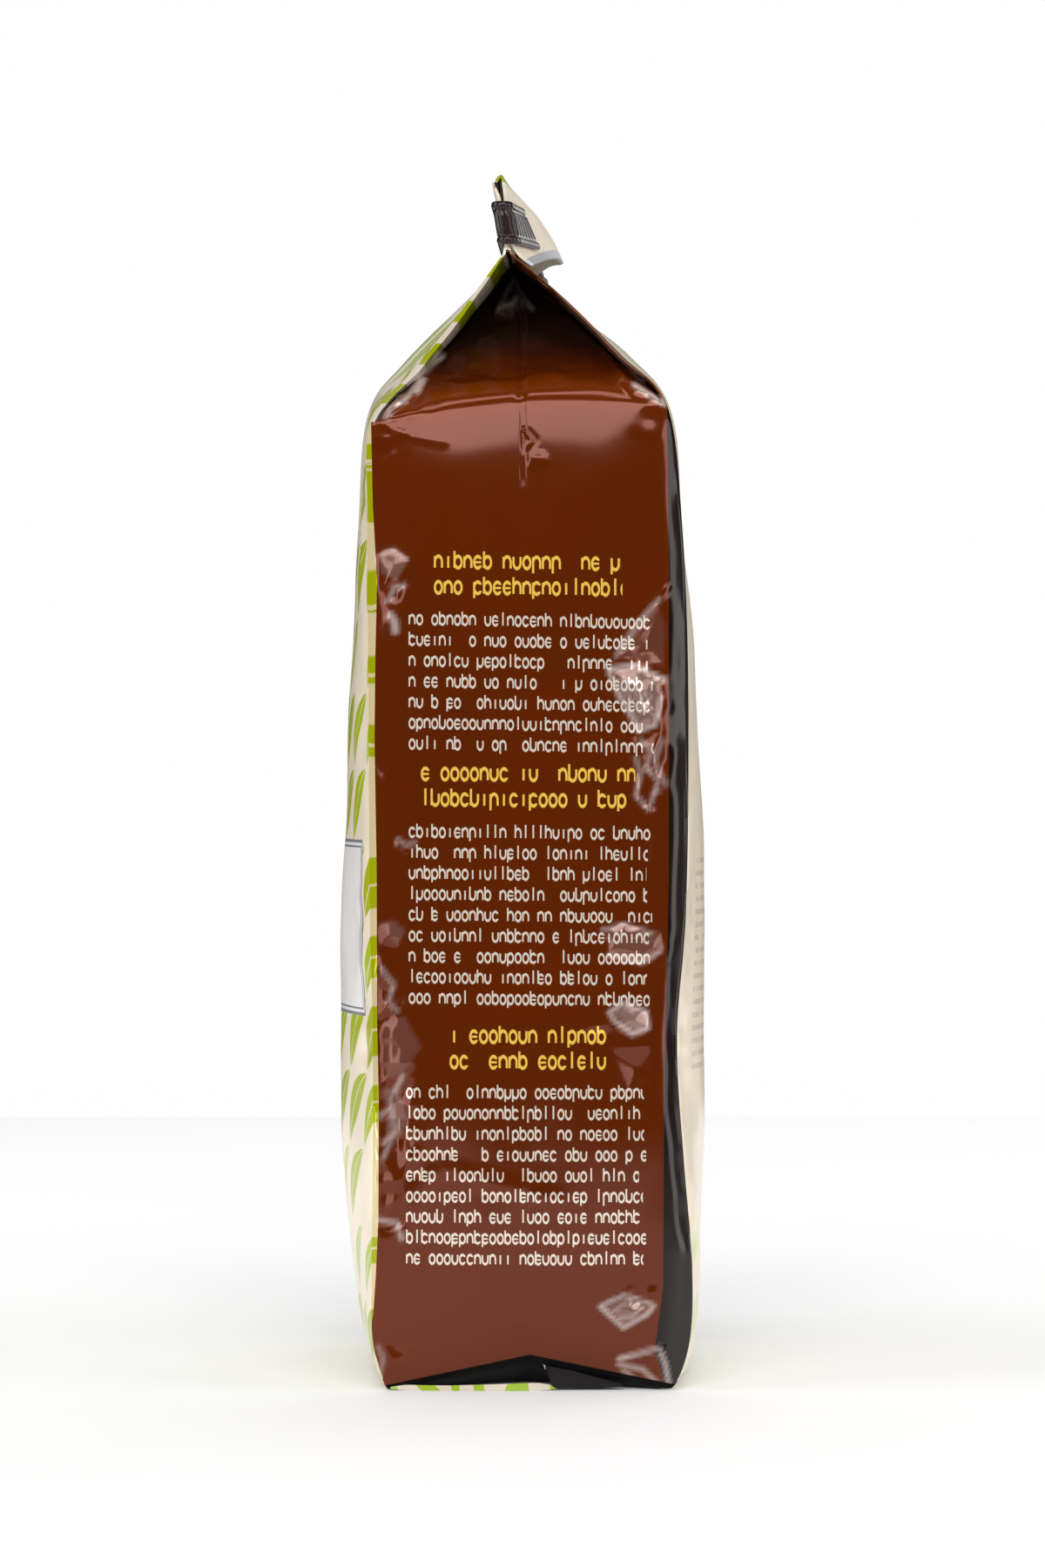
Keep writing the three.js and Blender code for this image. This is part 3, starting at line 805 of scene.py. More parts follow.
def edge_line(shader, z, rows, low, high):
    """Place across the gusset, in millimetres, of a line given by pixels, for every height."""
    stops = []
    for row, column in reversed(rows):
        share = (column - low) / (high - low)
        stops.append(((FLOOR_PIXEL_Y - row) * MM_PER_PIXEL / RAMP_HEIGHT, (share, share, share)))
    value = shader.node("ShaderNodeValToRGB", {"stops": stops}, {"Fac": z / RAMP_HEIGHT})
    return (value * (high - low) + (low - CENTRE_PIXEL_X)) * MM_PER_PIXEL


def picked(shader, z, blocks, column):
    """One column of the blocks' numbers, chosen by the height between the blocks."""
    value = blocks[0][column]
    for above, below in zip(blocks, blocks[1:]):
        limit = (FLOOR_PIXEL_Y - below[0] + 8) * MM_PER_PIXEL
        value = z.below(limit) * float(below[column] - above[column]) + value
    return value


def lettering(shader, y, z, blocks, face):
    """Rows of rings, arches, cups and stems grouped like words, which spell nothing."""
    pitch, letter, advance, stroke = face
    pitch_mm = pitch * MM_PER_PIXEL
    half_z = letter * MM_PER_PIXEL / 2
    half_x = advance * 0.36
    first, rows, left, right, fall = (picked(shader, z, blocks, column) for column in range(5))
    y_left = (left - CENTRE_PIXEL_X) * MM_PER_PIXEL
    into_row = y - y_left
    down = (((FLOOR_PIXEL_Y - first) * MM_PER_PIXEL - z) - into_row * fall) / pitch_mm
    row = down.floor()
    inside = down.above(0.0) * (rows - down).above(0.0) * into_row.above(0.0)
    seed = first * 0.11
    end = shader.random(shader.point(row, seed, 5.0)) * 1.6
    inside = inside * ((right - CENTRE_PIXEL_X) * MM_PER_PIXEL - end - y).above(0.0)
    cell = into_row / advance
    column = cell.floor()
    draw = shader.random(shader.point(column, row, seed))
    second = shader.random(shader.point(column, row, seed + 3.0))
    gap = shader.random(shader.point(column, row, seed + 7.0)).above(0.17)
    inside = inside * gap.largest(column.below(0.5))
    across = (cell.fraction() - 0.5) * advance
    into = (down.fraction() - 0.3) * pitch_mm - half_z
    soft = 0.07

    def drawn(distance):
        return 1.0 - distance.ramp(stroke / 2 - soft, stroke / 2 + soft)

    upper = into.below(0.0)
    lower = 1.0 - upper
    level = into.absolute()
    tallness = level.below(half_z)
    reach = across.absolute()
    q = ((across * across) / half_x**2 + (into * into) / half_z**2).maths("SQRT")
    ring = drawn((q - 1.0).absolute() * half_x)
    arch = draw.above(0.34) * draw.below(0.56)
    cup = draw.above(0.56) * draw.below(0.68)
    legs = (arch * lower).largest(cup * upper)
    open_side = draw.below(0.16) * across.above(half_x * 0.35) * level.below(half_z * 0.55)
    shape = ring * (1.0 - legs) * (1.0 - open_side)
    shape = shape.largest(drawn((reach - half_x).absolute()) * tallness * legs)
    shape = shape.largest(drawn(level) * reach.below(half_x) * draw.below(0.1))
    ascender = into.above(-half_z * 1.9) * into.below(half_z)
    descender = into.above(-half_z) * into.below(half_z * 1.8)
    stem = drawn((across + half_x).absolute())
    shape = shape.largest(stem * ascender * second.below(0.2))
    shape = shape.largest(stem * descender * second.above(0.2) * second.below(0.28))
    shape = shape.largest(stem * tallness * arch)
    single = draw.above(0.84)
    alone = drawn(reach) * (second.below(0.6) * ascender).largest(tallness)
    return inside * (shape * (1.0 - single)).largest(alone * single)


def fine_print(shader, x, z):
    """Rows of tiny dashes, too small to read, over the middle of the back panel."""
    row_height, dash = 2.8, 1.3
    down = (114.0 - z) / row_height
    row = down.floor()
    inside = down.above(0.0) * down.below(17.0) * (30.0 - x.absolute()).above(0.0)
    cell = x / dash + row * 0.4
    draw = shader.random(shader.point(cell.floor(), row, 4.0))
    return inside * draw.above(0.2) * cell.fraction().below(0.75) * down.fraction().below(0.4)


def leaves(shader, across, up, size, angle, seed):
    """Mask of slim leaf shapes in slanting rows."""
    c, s = math.cos(angle), math.sin(angle)
    u = (across * c + up * s) / size
    v = (up * c - across * s) / (size * 0.46)
    row = v.floor()
    u = u + row * 0.37
    cell = shader.point(u.floor(), row, seed)
    draw = shader.random(cell)
    a = u.fraction() * 2.0 - 1.0
    b = v.fraction() * 2.0 - 1.0
    bend = b + (a * a) * 0.5 - 0.25
    width = (1.0 - a * a) * (draw * 0.5 + 0.35)
    leaf = (width - bend.absolute()).ramp(0.0, 0.06)
    vein = 1.0 - bend.absolute().below(0.035)
    return leaf * vein * draw.above(0.16), draw


def scaled(colour, share):
    return tuple(share * c for c in colour)


def flap_material(colours):
    """Cream film with a leaf-green fold at its crest and bare foil along its free edge."""
    shader = Shader("printed_flap_film")
    z = shader.place()[2]
    along = shader.print_place()[0]
    mottling = shader.noise(90.0, 4.0, 0.55)
    # Painted shade: the flap's cream is a darker copy of the panels' cream.
    cream = shader.blend(mottling.ramp(0.3, 0.7), scaled(colours.cream, 0.84), scaled(colours.cream, 0.78))
    colour = shader.blend(z.ramp(258.7, 259.3), cream, scaled(colours.deep_lime, 0.7))
    foil = along.above(0.93)
    colour = shader.blend(foil, colour, tuple(colours.foil))
    normal = shader.bump(shader.noise(60.0, 2.0, 0.5), 0.1, 0.0005)
    roughness = mottling * 0.1 + 0.42
    return shader.finish(
        Base_Color=colour, Metallic=foil * 0.5, Roughness=roughness, Normal=normal, Specular_IOR_Level=0.2)


def panel_print(shader, colours, x, z):
    """Cream panels with leaves, a bare label on the front one and rows of small print on the back one."""
    mottling = shader.noise(90.0, 4.0, 0.55)
    cream = shader.blend(mottling.ramp(0.3, 0.7), tuple(colours.cream), scaled(colours.cream, 0.93))
    leaf_front, draw_front = leaves(shader, x, z, 21.0, 0.9, 3.0)
    lime = shader.blend(draw_front, tuple(colours.lime), tuple(colours.deep_lime))
    front = shader.blend(leaf_front, cream, lime)
    leaf_back = leaves(shader, x, z, 30.0, -0.7, 8.0)[0]
    pale_lime = shader.blend(0.55, tuple(colours.lime), tuple(colours.cream))
    back_leaf_zone = (z - 205.0).ramp(0.0, 10.0).largest(1.0 - z.ramp(28.0, 40.0))
    back = shader.blend(leaf_back * back_leaf_zone, cream, pale_lime)
    label_half_x, label_low, label_high = 36.5, 80.0, 118.0
    edge = (label_half_x - x.absolute()).smallest(z - label_low).smallest(label_high - z)
    border = edge.between(0.0, 0.7).largest(edge.between(1.3, 1.75))
    label_colour = shader.blend(border, (0.70, 0.69, 0.68), (0.20, 0.20, 0.22))
    front = shader.blend(edge.above(0.0), front, label_colour)
    back = shader.blend(fine_print(shader, x, z) * 0.6, back, (0.36, 0.33, 0.28))
    return cream, front, back, leaf_front


def gusset_print(shader, colours, y, z, side, station, leaf):
    """Brown gusset with rows of print, a leafy strip at its left and a dark band at its right."""
    wave = shader.noise(30.0, 3.0, 0.6)
    brown = shader.blend(wave.ramp(0.3, 0.7), scaled(colours.brown, 0.95), scaled(colours.brown, 1.06))
    gusset = shader.blend(lettering(shader, y, z, PARAGRAPHS, PARAGRAPH_TYPE), brown, (0.66, 0.58, 0.49))
    gusset = shader.blend(lettering(shader, y, z, HEADINGS, HEADING_TYPE), gusset, tuple(colours.gold))
    # Painted highlight: a lighter orange band along the shoulder line, where the roof turns back.
    glow = (station - 10.25).absolute().ramp(0.5, 0.0)
    gusset = shader.blend(glow * 0.45, gusset, (0.20, 0.034, 0.0005))
    # Painted shade: darker towards the top of the roof, deep in the fold between the panels.
    gusset = shader.blend(station.ramp(10.6, 11.7), gusset, (0.02, 0.008, 0.006))
    roof = station.above(SHOULDER_STATION + 0.02)
    left_edge = edge_line(shader, z, BROWN_LEFT, 420, 445)
    blocks = leaf.largest(z.between(186.0, 197.0)).largest(z.between(199.5, 202.8))
    strip = shader.blend(blocks, (0.60, 0.49, 0.27), tuple(colours.deep_lime))
    gusset = shader.blend((left_edge - y).above(0.0) * (1.0 - roof), gusset, strip)
    right_edge = edge_line(shader, z, BROWN_RIGHT, 745, 775)
    # Black print right of the brown, with painted shade: darkest where it meets the brown, lighter over 4 mm
    # as the corner turns.
    band_colour = shader.blend((y - right_edge).ramp(0.0, 4.0), (0.010, 0.005, 0.004), (0.022, 0.018, 0.017))
    gusset = shader.blend((y - right_edge).above(0.0) * (1.0 - roof), gusset, band_colour)
    lips = (side - 0.5).absolute()
    # Painted shade: a near-black line on the roof just inside the film edges, in the fold between edge and
    # roof.
    tucked = lips.between(0.470, 0.489, 0.002) * roof
    gusset = shader.blend(tucked, gusset, (0.003, 0.002, 0.002))
    gusset = shader.blend(lips.above(0.491) * roof * side.above(0.5), gusset, tuple(colours.glow))
    bars = (station * 1.35 + 0.1).fraction().below(0.5)
    folded_print = shader.blend(bars, scaled(colours.cream, 0.9), tuple(colours.deep_lime))
    gusset = shader.blend(lips.above(0.4895) * roof * side.below(0.5), gusset, folded_print)
    # Painted highlights along the gusset's creases and over its dents: a pale colour blended in by the
    # per-point share.
    worn = shader.node("ShaderNodeAttribute", {"attribute_name": "worn"}, output=2)
    gusset = shader.blend(worn, gusset, (0.74, 0.64, 0.60))
    # Painted shade: below the hem the tucked base's recess is near-black.
    return shader.blend(station.below(HEM_STATION - 0.04), gusset, (0.004, 0.003, 0.003))


def film_material(colours):
    """Printed glossy film: brown gussets, cream panels, a dark corner band and the cream film stack."""
    shader = Shader("printed_bag_film")
    x, y, z = shader.place()
    side, station = shader.print_place()
    cream, front, back, leaf = panel_print(shader, colours, x, z)
    gusset = gusset_print(shader, colours, y, z, side, station, leaf)

    on_back = side.between(1.0, 2.0, 0.0005)
    on_front = side.above(3.0)
    on_gusset = (1.0 - on_back) * (1.0 - on_front)
    edge_of_back = (1.0 - (side - 1.5).absolute() * 2.0) * CORNER_X[SHOULDER_STATION]
    margin = station.ramp(9.6, 10.4) * (1.0 - station.ramp(10.6, 12.0)) * 6.0 + 0.5
    back = shader.blend((margin - edge_of_back).above(0.0) * station.below(12.0), back, (0.014, 0.012, 0.013))
    colour = shader.blend(on_front, gusset, front)
    colour = shader.blend(on_back, colour, back)
    # Painted shade: the panels' slopes above the shoulder are darkened by a fifth.
    slopes = station.ramp(9.9, 10.3) * (1.0 - on_gusset)
    tips = (station * 2.3 + x.absolute() * 0.11).fraction().below(0.4) * x.absolute().above(36.0) * on_front
    colour = shader.blend(tips * station.above(10.1) * station.below(12.9), colour, tuple(colours.deep_lime))
    shade = {0: colour, "Scale": 1.0 - slopes * 0.2}
    colour = shader.node("ShaderNodeVectorMath", {"operation": "SCALE"}, shade)
    # Painted shade: near-black in the gap between the film layers at the stack's side edge.
    stack_gap = (y + (z - 254.8) * 0.45 + 4.3).above(0.0) * z.above(254.6) * on_gusset
    stack = shader.blend(stack_gap, cream, (0.004, 0.003, 0.003))
    colour = shader.blend(station.above(NECK_STATION + 0.05), colour, stack)
    # In the recess under the hem the film is rougher and more metallic, so that with its near-black colour it
    # reflects little: painted shade.
    recess = station.below(HEM_STATION - 0.04)

    mottling = shader.noise(90.0, 4.0, 0.55)
    roughness = mottling * 0.06 + (1.0 - on_gusset) * 0.12 + recess * 0.5 + 0.10
    height = shader.noise(300.0, 3.0, 0.55) * 0.08 + shader.noise(45.0, 2.0, 0.5)
    normal = shader.bump(height, 0.13, 0.0006)
    metal = on_gusset * 0.26 + recess * 0.5 + 0.03
    return shader.finish(
        Base_Color=colour, Metallic=metal, Roughness=roughness, Normal=normal, Specular_IOR_Level=0.42)


def fold_material(colours, name, dark):
    """Film tucked under the base: leafy cream along the floor, or black, partly print and partly painted
    shade, with a bare foil edge.
    """
    shader = Shader(name)
    y = shader.place()[1]
    along = shader.print_place()[0]
    grain = shader.noise(160.0, 3.0, 0.5)
    if dark:
        # Near-black film, standing partly for black print and partly for painted shade in the recess.
        black = shader.blend(grain, (0.006, 0.005, 0.005), (0.010, 0.008, 0.008))
        colour = shader.blend(along.below(0.12), black, scaled(colours.foil, 0.8))
    else:
        blotches = shader.noise(70.0, 1.0, 0.4)
        bars = (y / 6.5 + blotches * 2.4).fraction().below(0.4)
        colour = shader.blend(bars, scaled(colours.cream, 0.75), scaled(colours.lime, 0.8))
    roughness = grain * 0.15 + (0.45 if dark else 0.25)
    normal = shader.bump(grain, 0.1, 0.0003)
    shine = 0.12 if dark else 0.5
    return shader.finish(Base_Color=colour, Roughness=roughness, Normal=normal, Specular_IOR_Level=shine)


def tie_material(colours):
    """Satin dark plastic over wire, a little scuffed."""
    shader = Shader("tin_tie_plastic")
    scuffs = shader.noise(260.0, 4.0, 0.6)
    x, y = shader.place()[:2]
    colour = shader.blend(scuffs.ramp(0.35, 0.75), tuple(colours.tie), scaled(colours.tie, 1.6))
    # Painted sheen: the folded tabs are lighter than the rest of the tie.
    tab = x.absolute().ramp(40.6, 39.4) * y.above(-2.6)
    colour = shader.blend(tab, colour, (0.085, 0.075, 0.073))
    roughness = scuffs * 0.08 + 0.15
    normal = shader.bump(scuffs, 0.1, 0.0002)
    return shader.finish(
        Base_Color=colour, Roughness=roughness, Metallic=0.0, Normal=normal, Specular_IOR_Level=0.35)


# The flap and the tie.


def flap_point(span, along):
    spring = (1 - span**2)[..., None]
    return spline_at(FLAP_PINCHED, along) * (1 - spring) + spline_at(FLAP_SPRUNG, along) * spring


def flap_face(x, height, half_width):
    """Outer face's y of the flap at x and height."""
    along = np.linspace(0.25, 1, 400)
    span = np.full(along.shape, min(1.0, abs(x) / half_width))
    points = flap_point(span, along)
    order = np.argsort(points[:, 1])
    return float(np.interp(height, points[order, 1], points[order, 0]))


# Settings that a user would change.


def steps_setting(label, words, value):
    return IntProperty(name=label, description=words, default=value, min=12)


def length_setting(label, words, millimetres):
    return FloatProperty(
        name=label, description=words, default=millimetres * MM, unit="LENGTH", subtype="DISTANCE")


class CoffeeBagSizes(bpy.types.PropertyGroup):
    gusset_steps: steps_setting("Gusset divisions", "Grid cells across a gusset", 100)
    panel_steps: steps_setting("Panel divisions", "Grid cells across a wide panel", 36)
    film_rows: steps_setting("Film rows", "Grid cells from the base to the neck", 320)
    lip_thickness: length_setting("Roof lip", "Thickness of the film edges beside the roof fold", 0.5)
    hem_rise: length_setting("Hem rise", "How high the gusset's lower edge arches", 5.2)
    hem_drop: length_setting("Hem drop", "How far the gusset's lower edge falls at the corners", 1.4)
    notch_depth: length_setting("Base tuck", "How far the base is tucked in under a gusset", 9.5)
    gusset_fold: length_setting("Roof fold", "How far a gusset is folded in at the neck", 31.6)
    roll_width: length_setting("Roll width", "Width of the rolled top", 81.6)
    roll_top: length_setting("Roll height", "Height of the film stack's top", 258.9)
    roll_thickness: length_setting("Stack thickness", "Thickness of the film stack", 0.9)
    flap_thickness: length_setting("Flap thickness", "Thickness of the folded-over flap", 0.6)
    bead_radius: length_setting("Tie bead", "Half the height of a tie bead", 0.9)
    tie_low: length_setting("Lower bead", "Height of the tie's lower bead", 246.4)
    tie_high: length_setting("Upper bead", "Height of the tie's upper bead", 253.8)
    tab_end: length_setting("Tab end", "Where each folded tab of the tie ends", 32.0)
    rib_pitch: length_setting("Rib pitch", "Spacing of the ribs on the tie's web", 1.5)


def colour_setting(label, words, value):
    return FloatVectorProperty(
        name=label, description=words, default=value, size=3, min=0, max=1, subtype="COLOR")


class CoffeeBagColours(bpy.types.PropertyGroup):
    brown: colour_setting("Gusset brown", "Print of the gussets", (0.106, 0.0152, 0.0003))
    glow: colour_setting("Film edges", "Lit edges of the film beside the roof", (0.17, 0.045, 0.012))
    cream: colour_setting("Panel cream", "Ground of the wide panels", (0.74, 0.65, 0.51))
    lime: colour_setting("Leaf green", "Lighter leaves", (0.33, 0.48, 0.008))
    deep_lime: colour_setting("Leaf shade", "Darker leaves", (0.32, 0.35, 0.002))
    gold: colour_setting("Heading gold", "Larger print", (0.79, 0.50, 0.08))
    foil: colour_setting("Bare foil", "Unprinted film", (0.50, 0.50, 0.52))
    tie: colour_setting("Tie plastic", "The tin tie", (0.014, 0.007, 0.008))


# Operators, one for each piece.


class COFFEEBAG_OT_film(bpy.types.Operator):
    """Build the filled film body with its gable top and film stack"""

    bl_idname = "coffeebag.film"
    bl_label = "Bag Film"

    def execute(self, context):
        shape = FilmShape(context.scene.coffee_bag_sizes)
        points, station = shape.grid()
        side = shape.side_of_columns()
        uv = np.stack(np.broadcast_arrays(side[None, :], station[:, None] / STATIONS_PER_UV), axis=2)
        piece = grid_piece("bag_film", points, np.ascontiguousarray(uv), painted_glint_share(points, side))
        finish_piece(piece, film_material(context.scene.coffee_bag_colours), angle=60)
        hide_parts("bag")
        return {"FINISHED"}


class COFFEEBAG_OT_flap(bpy.types.Operator):
    """Build the folded-over flap with its bare foil edge"""

    bl_idname = "coffeebag.flap"
    bl_label = "Folded Flap"

    def execute(self, context):
        sizes = context.scene.coffee_bag_sizes
        half_width = sizes.roll_width / MM / 2
        half_thickness = sizes.flap_thickness / MM / 2
        along = np.linspace(0, 1, FLAP_ROWS)
        x = np.linspace(-half_width, half_width, FLAP_COLUMNS)
        span = np.abs(x[:, None]) / half_width + 0 * along
        length = 1 - FLAP_FAR_TRIM * np.clip(-x / half_width, 0, 1)
        spread = along[None, :] * length[:, None]
        centre = flap_point(span, spread)
        ahead, behind = np.minimum(1, spread + FLAP_PROBE), np.maximum(0, spread - FLAP_PROBE)
        tangent = flap_point(span, ahead) - flap_point(span, behind)
        tangent /= np.linalg.norm(tangent, axis=2, keepdims=True)
        normal = np.stack([-tangent[..., 1], tangent[..., 0]], axis=2)
        ripple = gradient_noise(x[:, None] / 9 + 0 * along, spread * 3, 31) * 0.35
        ripple = ripple * smooth_step(spread, 0.35, 0.8)
        ripple = ripple * np.clip((1 - span) / 0.3, 0, 1)
        centre = centre + normal * ripple[..., None]
        outer = centre + normal * half_thickness
        inner = centre - normal * half_thickness
        section = np.concatenate([inner, outer[:, ::-1], inner[:, :1]], axis=1)
        across = np.broadcast_to(x[:, None, None], section.shape[:2] + (1,))
        points = skewed(np.concatenate([across, section], axis=2))
        ring = np.concatenate([along, along[::-1], along[:1]])
        inside = np.concatenate([np.zeros(FLAP_ROWS), np.ones(FLAP_ROWS), [0]])
        uv = np.stack(np.broadcast_arrays(ring[None, :], inside[None, :] + 0 * x[:, None]), axis=2)
        piece = grid_piece("bag_flap", points, np.ascontiguousarray(uv))
        finish_piece(piece, flap_material(context.scene.coffee_bag_colours), angle=50)
        return {"FINISHED"}


class COFFEEBAG_OT_base_folds(bpy.types.Operator):
    """Build the film folds that show under the gusset's lower edge"""

    bl_idname = "coffeebag.base_folds"
    bl_label = "Base Folds"

    def execute(self, context):
        colours = context.scene.coffee_bag_colours
        strip = fold_sliver("base_edge_fold", BASE_EDGE)
        finish_piece(strip, fold_material(colours, "leafy_base_film", False))
        tuck = fold_sliver("base_tuck_fold", BASE_TUCK)
        finish_piece(tuck, fold_material(colours, "dark_print_and_shade_base_film", True))
        return {"FINISHED"}


# Film folds in the recess under the gusset: (y, lower z, upper z, x of the lower and of the upper edge)
# in millimetres, their thickness, and their points along and across.
FOLD_THICKNESS = 0.3
FOLD_ROWS = 61
FOLD_COLUMNS = 7
BASE_EDGE = (
    (-28.3, 0.3, 1.3, 40.2, 39.8), (-24.0, 0.0, 1.1, 40.6, 39.8), (-16.0, 0.0, 1.0, 41.0, 40.0),
    (-5.0, 0.0, 1.3, 41.2, 40.2), (3.0, 0.0, 1.5, 41.0, 39.8), (7.2, 0.3, 0.8, 40.4, 39.8),
)
BASE_TUCK = (
    (4.4, 5.3, 5.8, 38.6, 37.6), (5.4, 3.2, 5.6, 39.2, 37.7), (6.8, 0.6, 5.2, 40.2, 37.9),
    (10.0, 0.5, 4.2, 40.2, 38.3), (16.0, 0.5, 2.6, 40.0, 38.9), (21.6, 0.7, 1.2, 39.8, 39.4),
)


def fold_sliver(name, outline):
    """A thin closed wedge of film that follows an outline along y."""
    outline = np.array(outline)
    share = np.linspace(0, 1, FOLD_ROWS)
    y, low, high, low_x, high_x = spline_at(outline, share).T
    low = np.maximum(low, 0.02)
    high = np.maximum(high, low + 0.05)
    front = [
        np.stack([low_x + (high_x - low_x) * t, y, low + (high - low) * t], axis=1)
        for t in np.linspace(0, 1, FOLD_COLUMNS)
    ]
    back = [row - np.array([FOLD_THICKNESS, 0, 0]) for row in reversed(front)]
    ring = np.stack(front + back + front[:1], axis=1)
    uv = np.stack(np.broadcast_arrays(share[:, None], np.linspace(0, 1, ring.shape[1])[None, :]), axis=2)
    return grid_piece(name, ring, np.ascontiguousarray(uv))


class COFFEEBAG_OT_tie(bpy.types.Operator):
    """Build the ribbed tin tie wrapped round the rolled top"""

    bl_idname = "coffeebag.tie"
    bl_label = "Tin Tie"

    def execute(self, context):
        sizes = context.scene.coffee_bag_sizes
        points = tie_sections(sizes)
        uv = np.zeros(points.shape[:2] + (2,))
        piece = grid_piece("tin_tie_strap", points, uv)
        finish_piece(piece, tie_material(context.scene.coffee_bag_colours), angle=35)
        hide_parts("tin_tie")
        return {"FINISHED"}


# Distances in millimetres from the flap's middle and from its faces to the tie, the step for the flap's
# slope, and the tie's half widths at a bead, in its web and at a rib.
FLAP_HALF_THICKNESS = 0.3
TIE_STANDOFF = 0.56
TAB_PROBE = 0.5
BEAD_HALF_WIDTH = 0.58
WEB_HALF_WIDTH = 0.16
RIB_HEIGHT = 0.2


def tie_path(sizes, height):
    """Closely spaced (x, y, z) points of the tie's middle at one height, tab end to tab end."""
    half_width = sizes.roll_width / MM / 2
    reach = FLAP_HALF_THICKNESS + TIE_STANDOFF

    def face(x, z):
        return flap_face(x, z, half_width)

    def tab_y(x):
        along = (face(x + TAB_PROBE, height) - face(x - TAB_PROBE, height)) / (2 * TAB_PROBE)
        up = (face(x, height + TAB_PROBE) - face(x, height - TAB_PROBE)) / (2 * TAB_PROBE)
        return face(x, height) + FLAP_HALF_THICKNESS + reach * math.hypot(1, along, up)

    front_y = roll_face(height) - reach
    bend_back_y = face(half_width, height) + FLAP_HALF_THICKNESS + reach
    radius = (bend_back_y - front_y) / 2
    middle_y = (bend_back_y + front_y) / 2
    half = []
    for x in np.linspace(sizes.tab_end / MM, half_width, 56)[:-1]:
        half.append((x, tab_y(x)))
    for angle in np.linspace(math.pi / 2, -math.pi / 2, 25):
        half.append((half_width + radius * math.cos(angle), middle_y + radius * math.sin(angle)))
    for x in np.linspace(half_width, 0, 130)[1:]:
        half.append((x, front_y))
    path = half + [(-x, y) for x, y in half[-2::-1]]
    return skewed([(x, y, height) for x, y in path])


def tie_sections(sizes):
    """Rings of the tie: a lower bead, a thin ribbed web and an upper bead."""
    low = tie_path(sizes, sizes.tie_low / MM)
    high = tie_path(sizes, sizes.tie_high / MM)
    tangent = np.gradient(low, axis=0)
    up = high - low
    up /= np.linalg.norm(up, axis=1, keepdims=True)
    outward = np.cross(tangent, up)
    outward /= np.linalg.norm(outward, axis=1, keepdims=True)
    travel = np.concatenate([[0], np.cumsum(np.linalg.norm(np.diff(low, axis=0), axis=1))])
    rib = 0.5 + 0.5 * np.cos(2 * math.pi * travel / (sizes.rib_pitch / MM))
    bead_height = sizes.bead_radius / MM
    columns = []

    def bead(centre, facing):
        for angle in np.linspace(0.35, 2 * math.pi - 0.35, 15):
            across = math.sin(angle) * BEAD_HALF_WIDTH * facing
            along = math.cos(angle) * bead_height * facing
            columns.append(centre + outward * across + up * along)

    def web(start, end, side):
        for share in (0.16, 0.2, 0.35, 0.5, 0.65, 0.8, 0.84):
            middle = start + (end - start) * share
            thick = WEB_HALF_WIDTH + RIB_HEIGHT * rib * (0.18 < share < 0.82)
            columns.append(middle + outward * (side * thick)[:, None])

    bead(low, 1)
    web(low, high, -1)
    bead(high, -1)
    web(high, low, 1)
    ring = np.stack(columns, axis=1)
    return np.concatenate([ring, ring[:, :1]], axis=1)


class COFFEEBAG_OT_stage(bpy.types.Operator):
    """Build the pale floor, the soft lights and the camera"""

    bl_idname = "coffeebag.stage"
    bl_label = "Studio Stage"

    def execute(self, context):
        scene = context.scene
        build_floor()
        for lamp in LAMPS:
            soft_light(*lamp)
        build_world(scene)
        build_camera(scene)
        scene.view_settings.view_transform = "Standard"
        scene.view_settings.look = "None"
        scene.view_settings.exposure = 0.0
        return {"FINISHED"}


# Corners of the floor in metres.
FLOOR_CORNERS = ((-0.7, -1.2), (0.46, -1.2), (-0.7, 1.2), (0.46, 1.2))


def build_floor():
    deselect_all()
    bpy.ops.mesh.primitive_plane_add(size=1)
    floor = bpy.context.object
    floor.name = "pale_floor"
    for vertex, (x, y) in zip(floor.data.vertices, FLOOR_CORNERS):
        vertex.co = (x, y, 0.0)
    shader = Shader("floor_paper")
    grain = shader.noise(14.0, 3.0, 0.5)
    colour = shader.blend(grain, (0.91, 0.91, 0.91), (0.93, 0.93, 0.93))
    # Painted light: the floor glows, up to 0.15 more towards the back, so that it fades into the white world.
    behind = shader.place()[0].ramp(60.0, -350.0)
    lift = shader.blend(behind, (0.0, 0.0, 0.0), (0.15, 0.15, 0.15))
    floor.data.materials.append(shader.finish(
        Base_Color=colour, Roughness=0.6, Emission_Color=lift, Emission_Strength=1.0))


def soft_light(name, place, target, width, height, power):
    deselect_all()
    bpy.ops.object.light_add(type="AREA", location=place)
    lamp = bpy.context.object
    lamp.name = name
    lamp.data.shape = "RECTANGLE"
    lamp.data.size = width
    lamp.data.size_y = height
    lamp.data.energy = power
    lamp.rotation_euler = (Vector(target) - Vector(place)).to_track_quat("-Z", "Y").to_euler()


# Soft lamps: name, place and target in metres, width, height and power.
LAMPS = (
    ("front_softbox", (1.7, 0.0, 1.15), (0.0, 0.0, 0.13), 1.6, 0.8, 18),
    ("left_strip_softbox", (1.45, -0.9, 0.45), (0.0, 0.0, 0.13), 0.4, 1.3, 5.5),
    ("right_strip_softbox", (1.4, 1.0, 0.45), (0.0, 0.0, 0.13), 0.4, 1.3, 5.5),
    ("front_panel_softbox", (0.35, -1.6, 0.7), (0.0, 0.0, 0.13), 0.9, 1.4, 12),
    ("back_panel_softbox", (0.35, 1.6, 0.7), (0.0, 0.0, 0.13), 0.9, 1.4, 7.5),
    ("rear_softbox", (-1.6, 0.0, 1.0), (0.0, 0.0, 0.13), 1.4, 0.9, 1.4),
    ("rear_right_softbox", (-1.3, 1.25, 0.6), (0.0, 0.0, 0.2), 0.9, 0.8, 6),
    ("top_strip_softbox", (0.9, 0.0, 2.0), (0.0, 0.0, 0.22), 0.9, 0.25, 3.0),
    ("overhead_softbox", (-0.3, 0.0, 1.8), (0.0, 0.0, 0.13), 1.2, 1.2, 2),
)


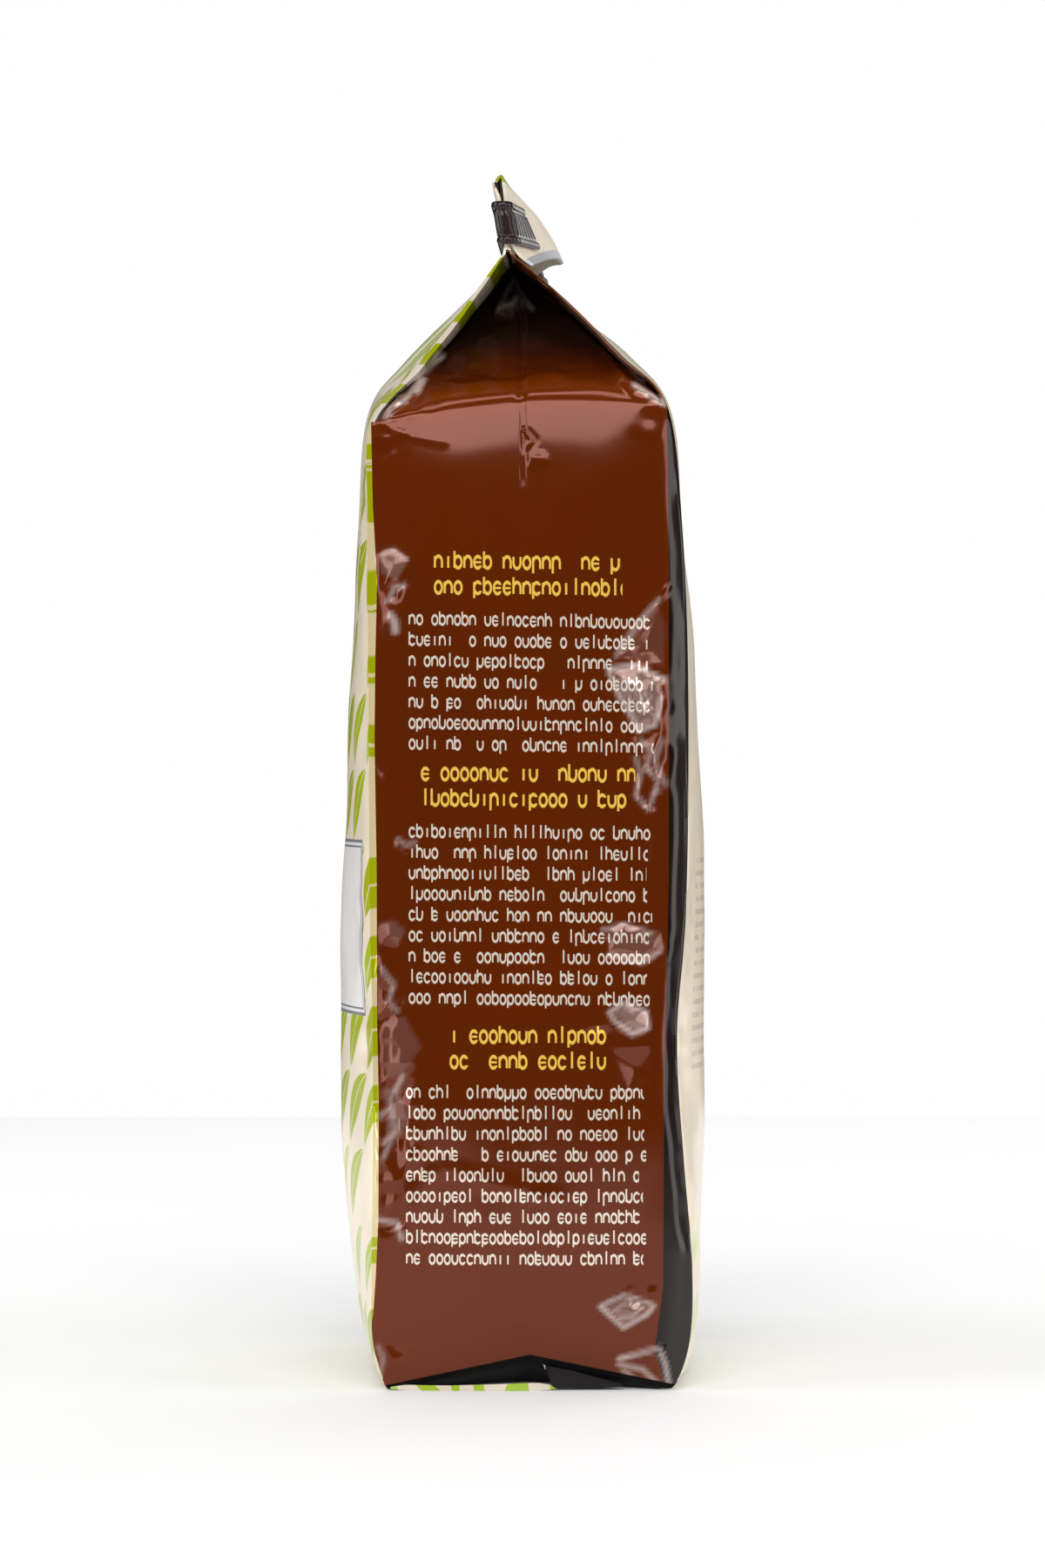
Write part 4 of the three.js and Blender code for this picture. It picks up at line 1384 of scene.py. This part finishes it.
def build_world(scene):
    """White behind the object for the camera, dim for reflections, softly lit elsewhere."""
    world = bpy.data.worlds.new("studio")
    scene.world = world
    world.use_nodes = True
    tree = world.node_tree
    background = tree.nodes["Background"]
    path = tree.nodes.new("ShaderNodeLightPath")
    seen = tree.nodes.new("ShaderNodeMath")
    seen.operation = "MULTIPLY_ADD"
    seen.inputs[1].default_value = 0.985
    seen.inputs[2].default_value = 0.015
    tree.links.new(path.outputs["Is Camera Ray"], seen.inputs[0])
    fill = tree.nodes.new("ShaderNodeMath")
    fill.operation = "MULTIPLY"
    fill.inputs[1].default_value = 0.5
    tree.links.new(path.outputs["Is Diffuse Ray"], fill.inputs[0])
    total = tree.nodes.new("ShaderNodeMath")
    total.operation = "ADD"
    tree.links.new(seen.outputs[0], total.inputs[0])
    tree.links.new(fill.outputs[0], total.inputs[1])
    tree.links.new(total.outputs[0], background.inputs["Strength"])
    background.inputs["Color"].default_value = (1, 1, 1, 1)


def build_camera(scene):
    distance = (CAMERA_DISTANCE + GUSSET_PLANE) * MM
    bpy.ops.object.camera_add(location=(distance, 0, EYE_HEIGHT * MM), rotation=(math.pi / 2, 0, math.pi / 2))
    camera = bpy.context.object
    camera.name = "photo_camera"
    seen_height = PIXELS_HIGH * MM_PER_PIXEL
    camera.data.sensor_width = SENSOR_WIDTH
    camera.data.lens = SENSOR_WIDTH * CAMERA_DISTANCE / seen_height
    camera.data.clip_end = 20
    scene.camera = camera


class COFFEEBAG_PT_panel(bpy.types.Panel):
    """Lists the bag's pieces"""

    bl_idname = "COFFEEBAG_PT_panel"
    bl_label = "Coffee Bag"
    bl_space_type = "VIEW_3D"
    bl_region_type = "UI"
    bl_category = "Coffee Bag"

    def draw(self, context):
        for operator in OPERATORS:
            self.layout.operator(operator.bl_idname)
        for group in (context.scene.coffee_bag_sizes, context.scene.coffee_bag_colours):
            for name in group.__annotations__:
                self.layout.prop(group, name)


OPERATORS = (
    COFFEEBAG_OT_film, COFFEEBAG_OT_flap, COFFEEBAG_OT_base_folds, COFFEEBAG_OT_tie, COFFEEBAG_OT_stage,
)
CLASSES = (CoffeeBagSizes, CoffeeBagColours, *OPERATORS, COFFEEBAG_PT_panel)


def register():
    for cls in CLASSES:
        bpy.utils.register_class(cls)
    bpy.types.Scene.coffee_bag_sizes = PointerProperty(type=CoffeeBagSizes)
    bpy.types.Scene.coffee_bag_colours = PointerProperty(type=CoffeeBagColours)


def unregister():
    del bpy.types.Scene.coffee_bag_colours
    del bpy.types.Scene.coffee_bag_sizes
    for cls in reversed(CLASSES):
        bpy.utils.unregister_class(cls)


def main():
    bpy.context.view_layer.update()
    register()
    bpy.ops.coffeebag.film()
    bpy.ops.coffeebag.flap()
    bpy.ops.coffeebag.base_folds()
    bpy.ops.coffeebag.tie()
    bpy.ops.coffeebag.stage()


if __name__ == "__main__":
    main()
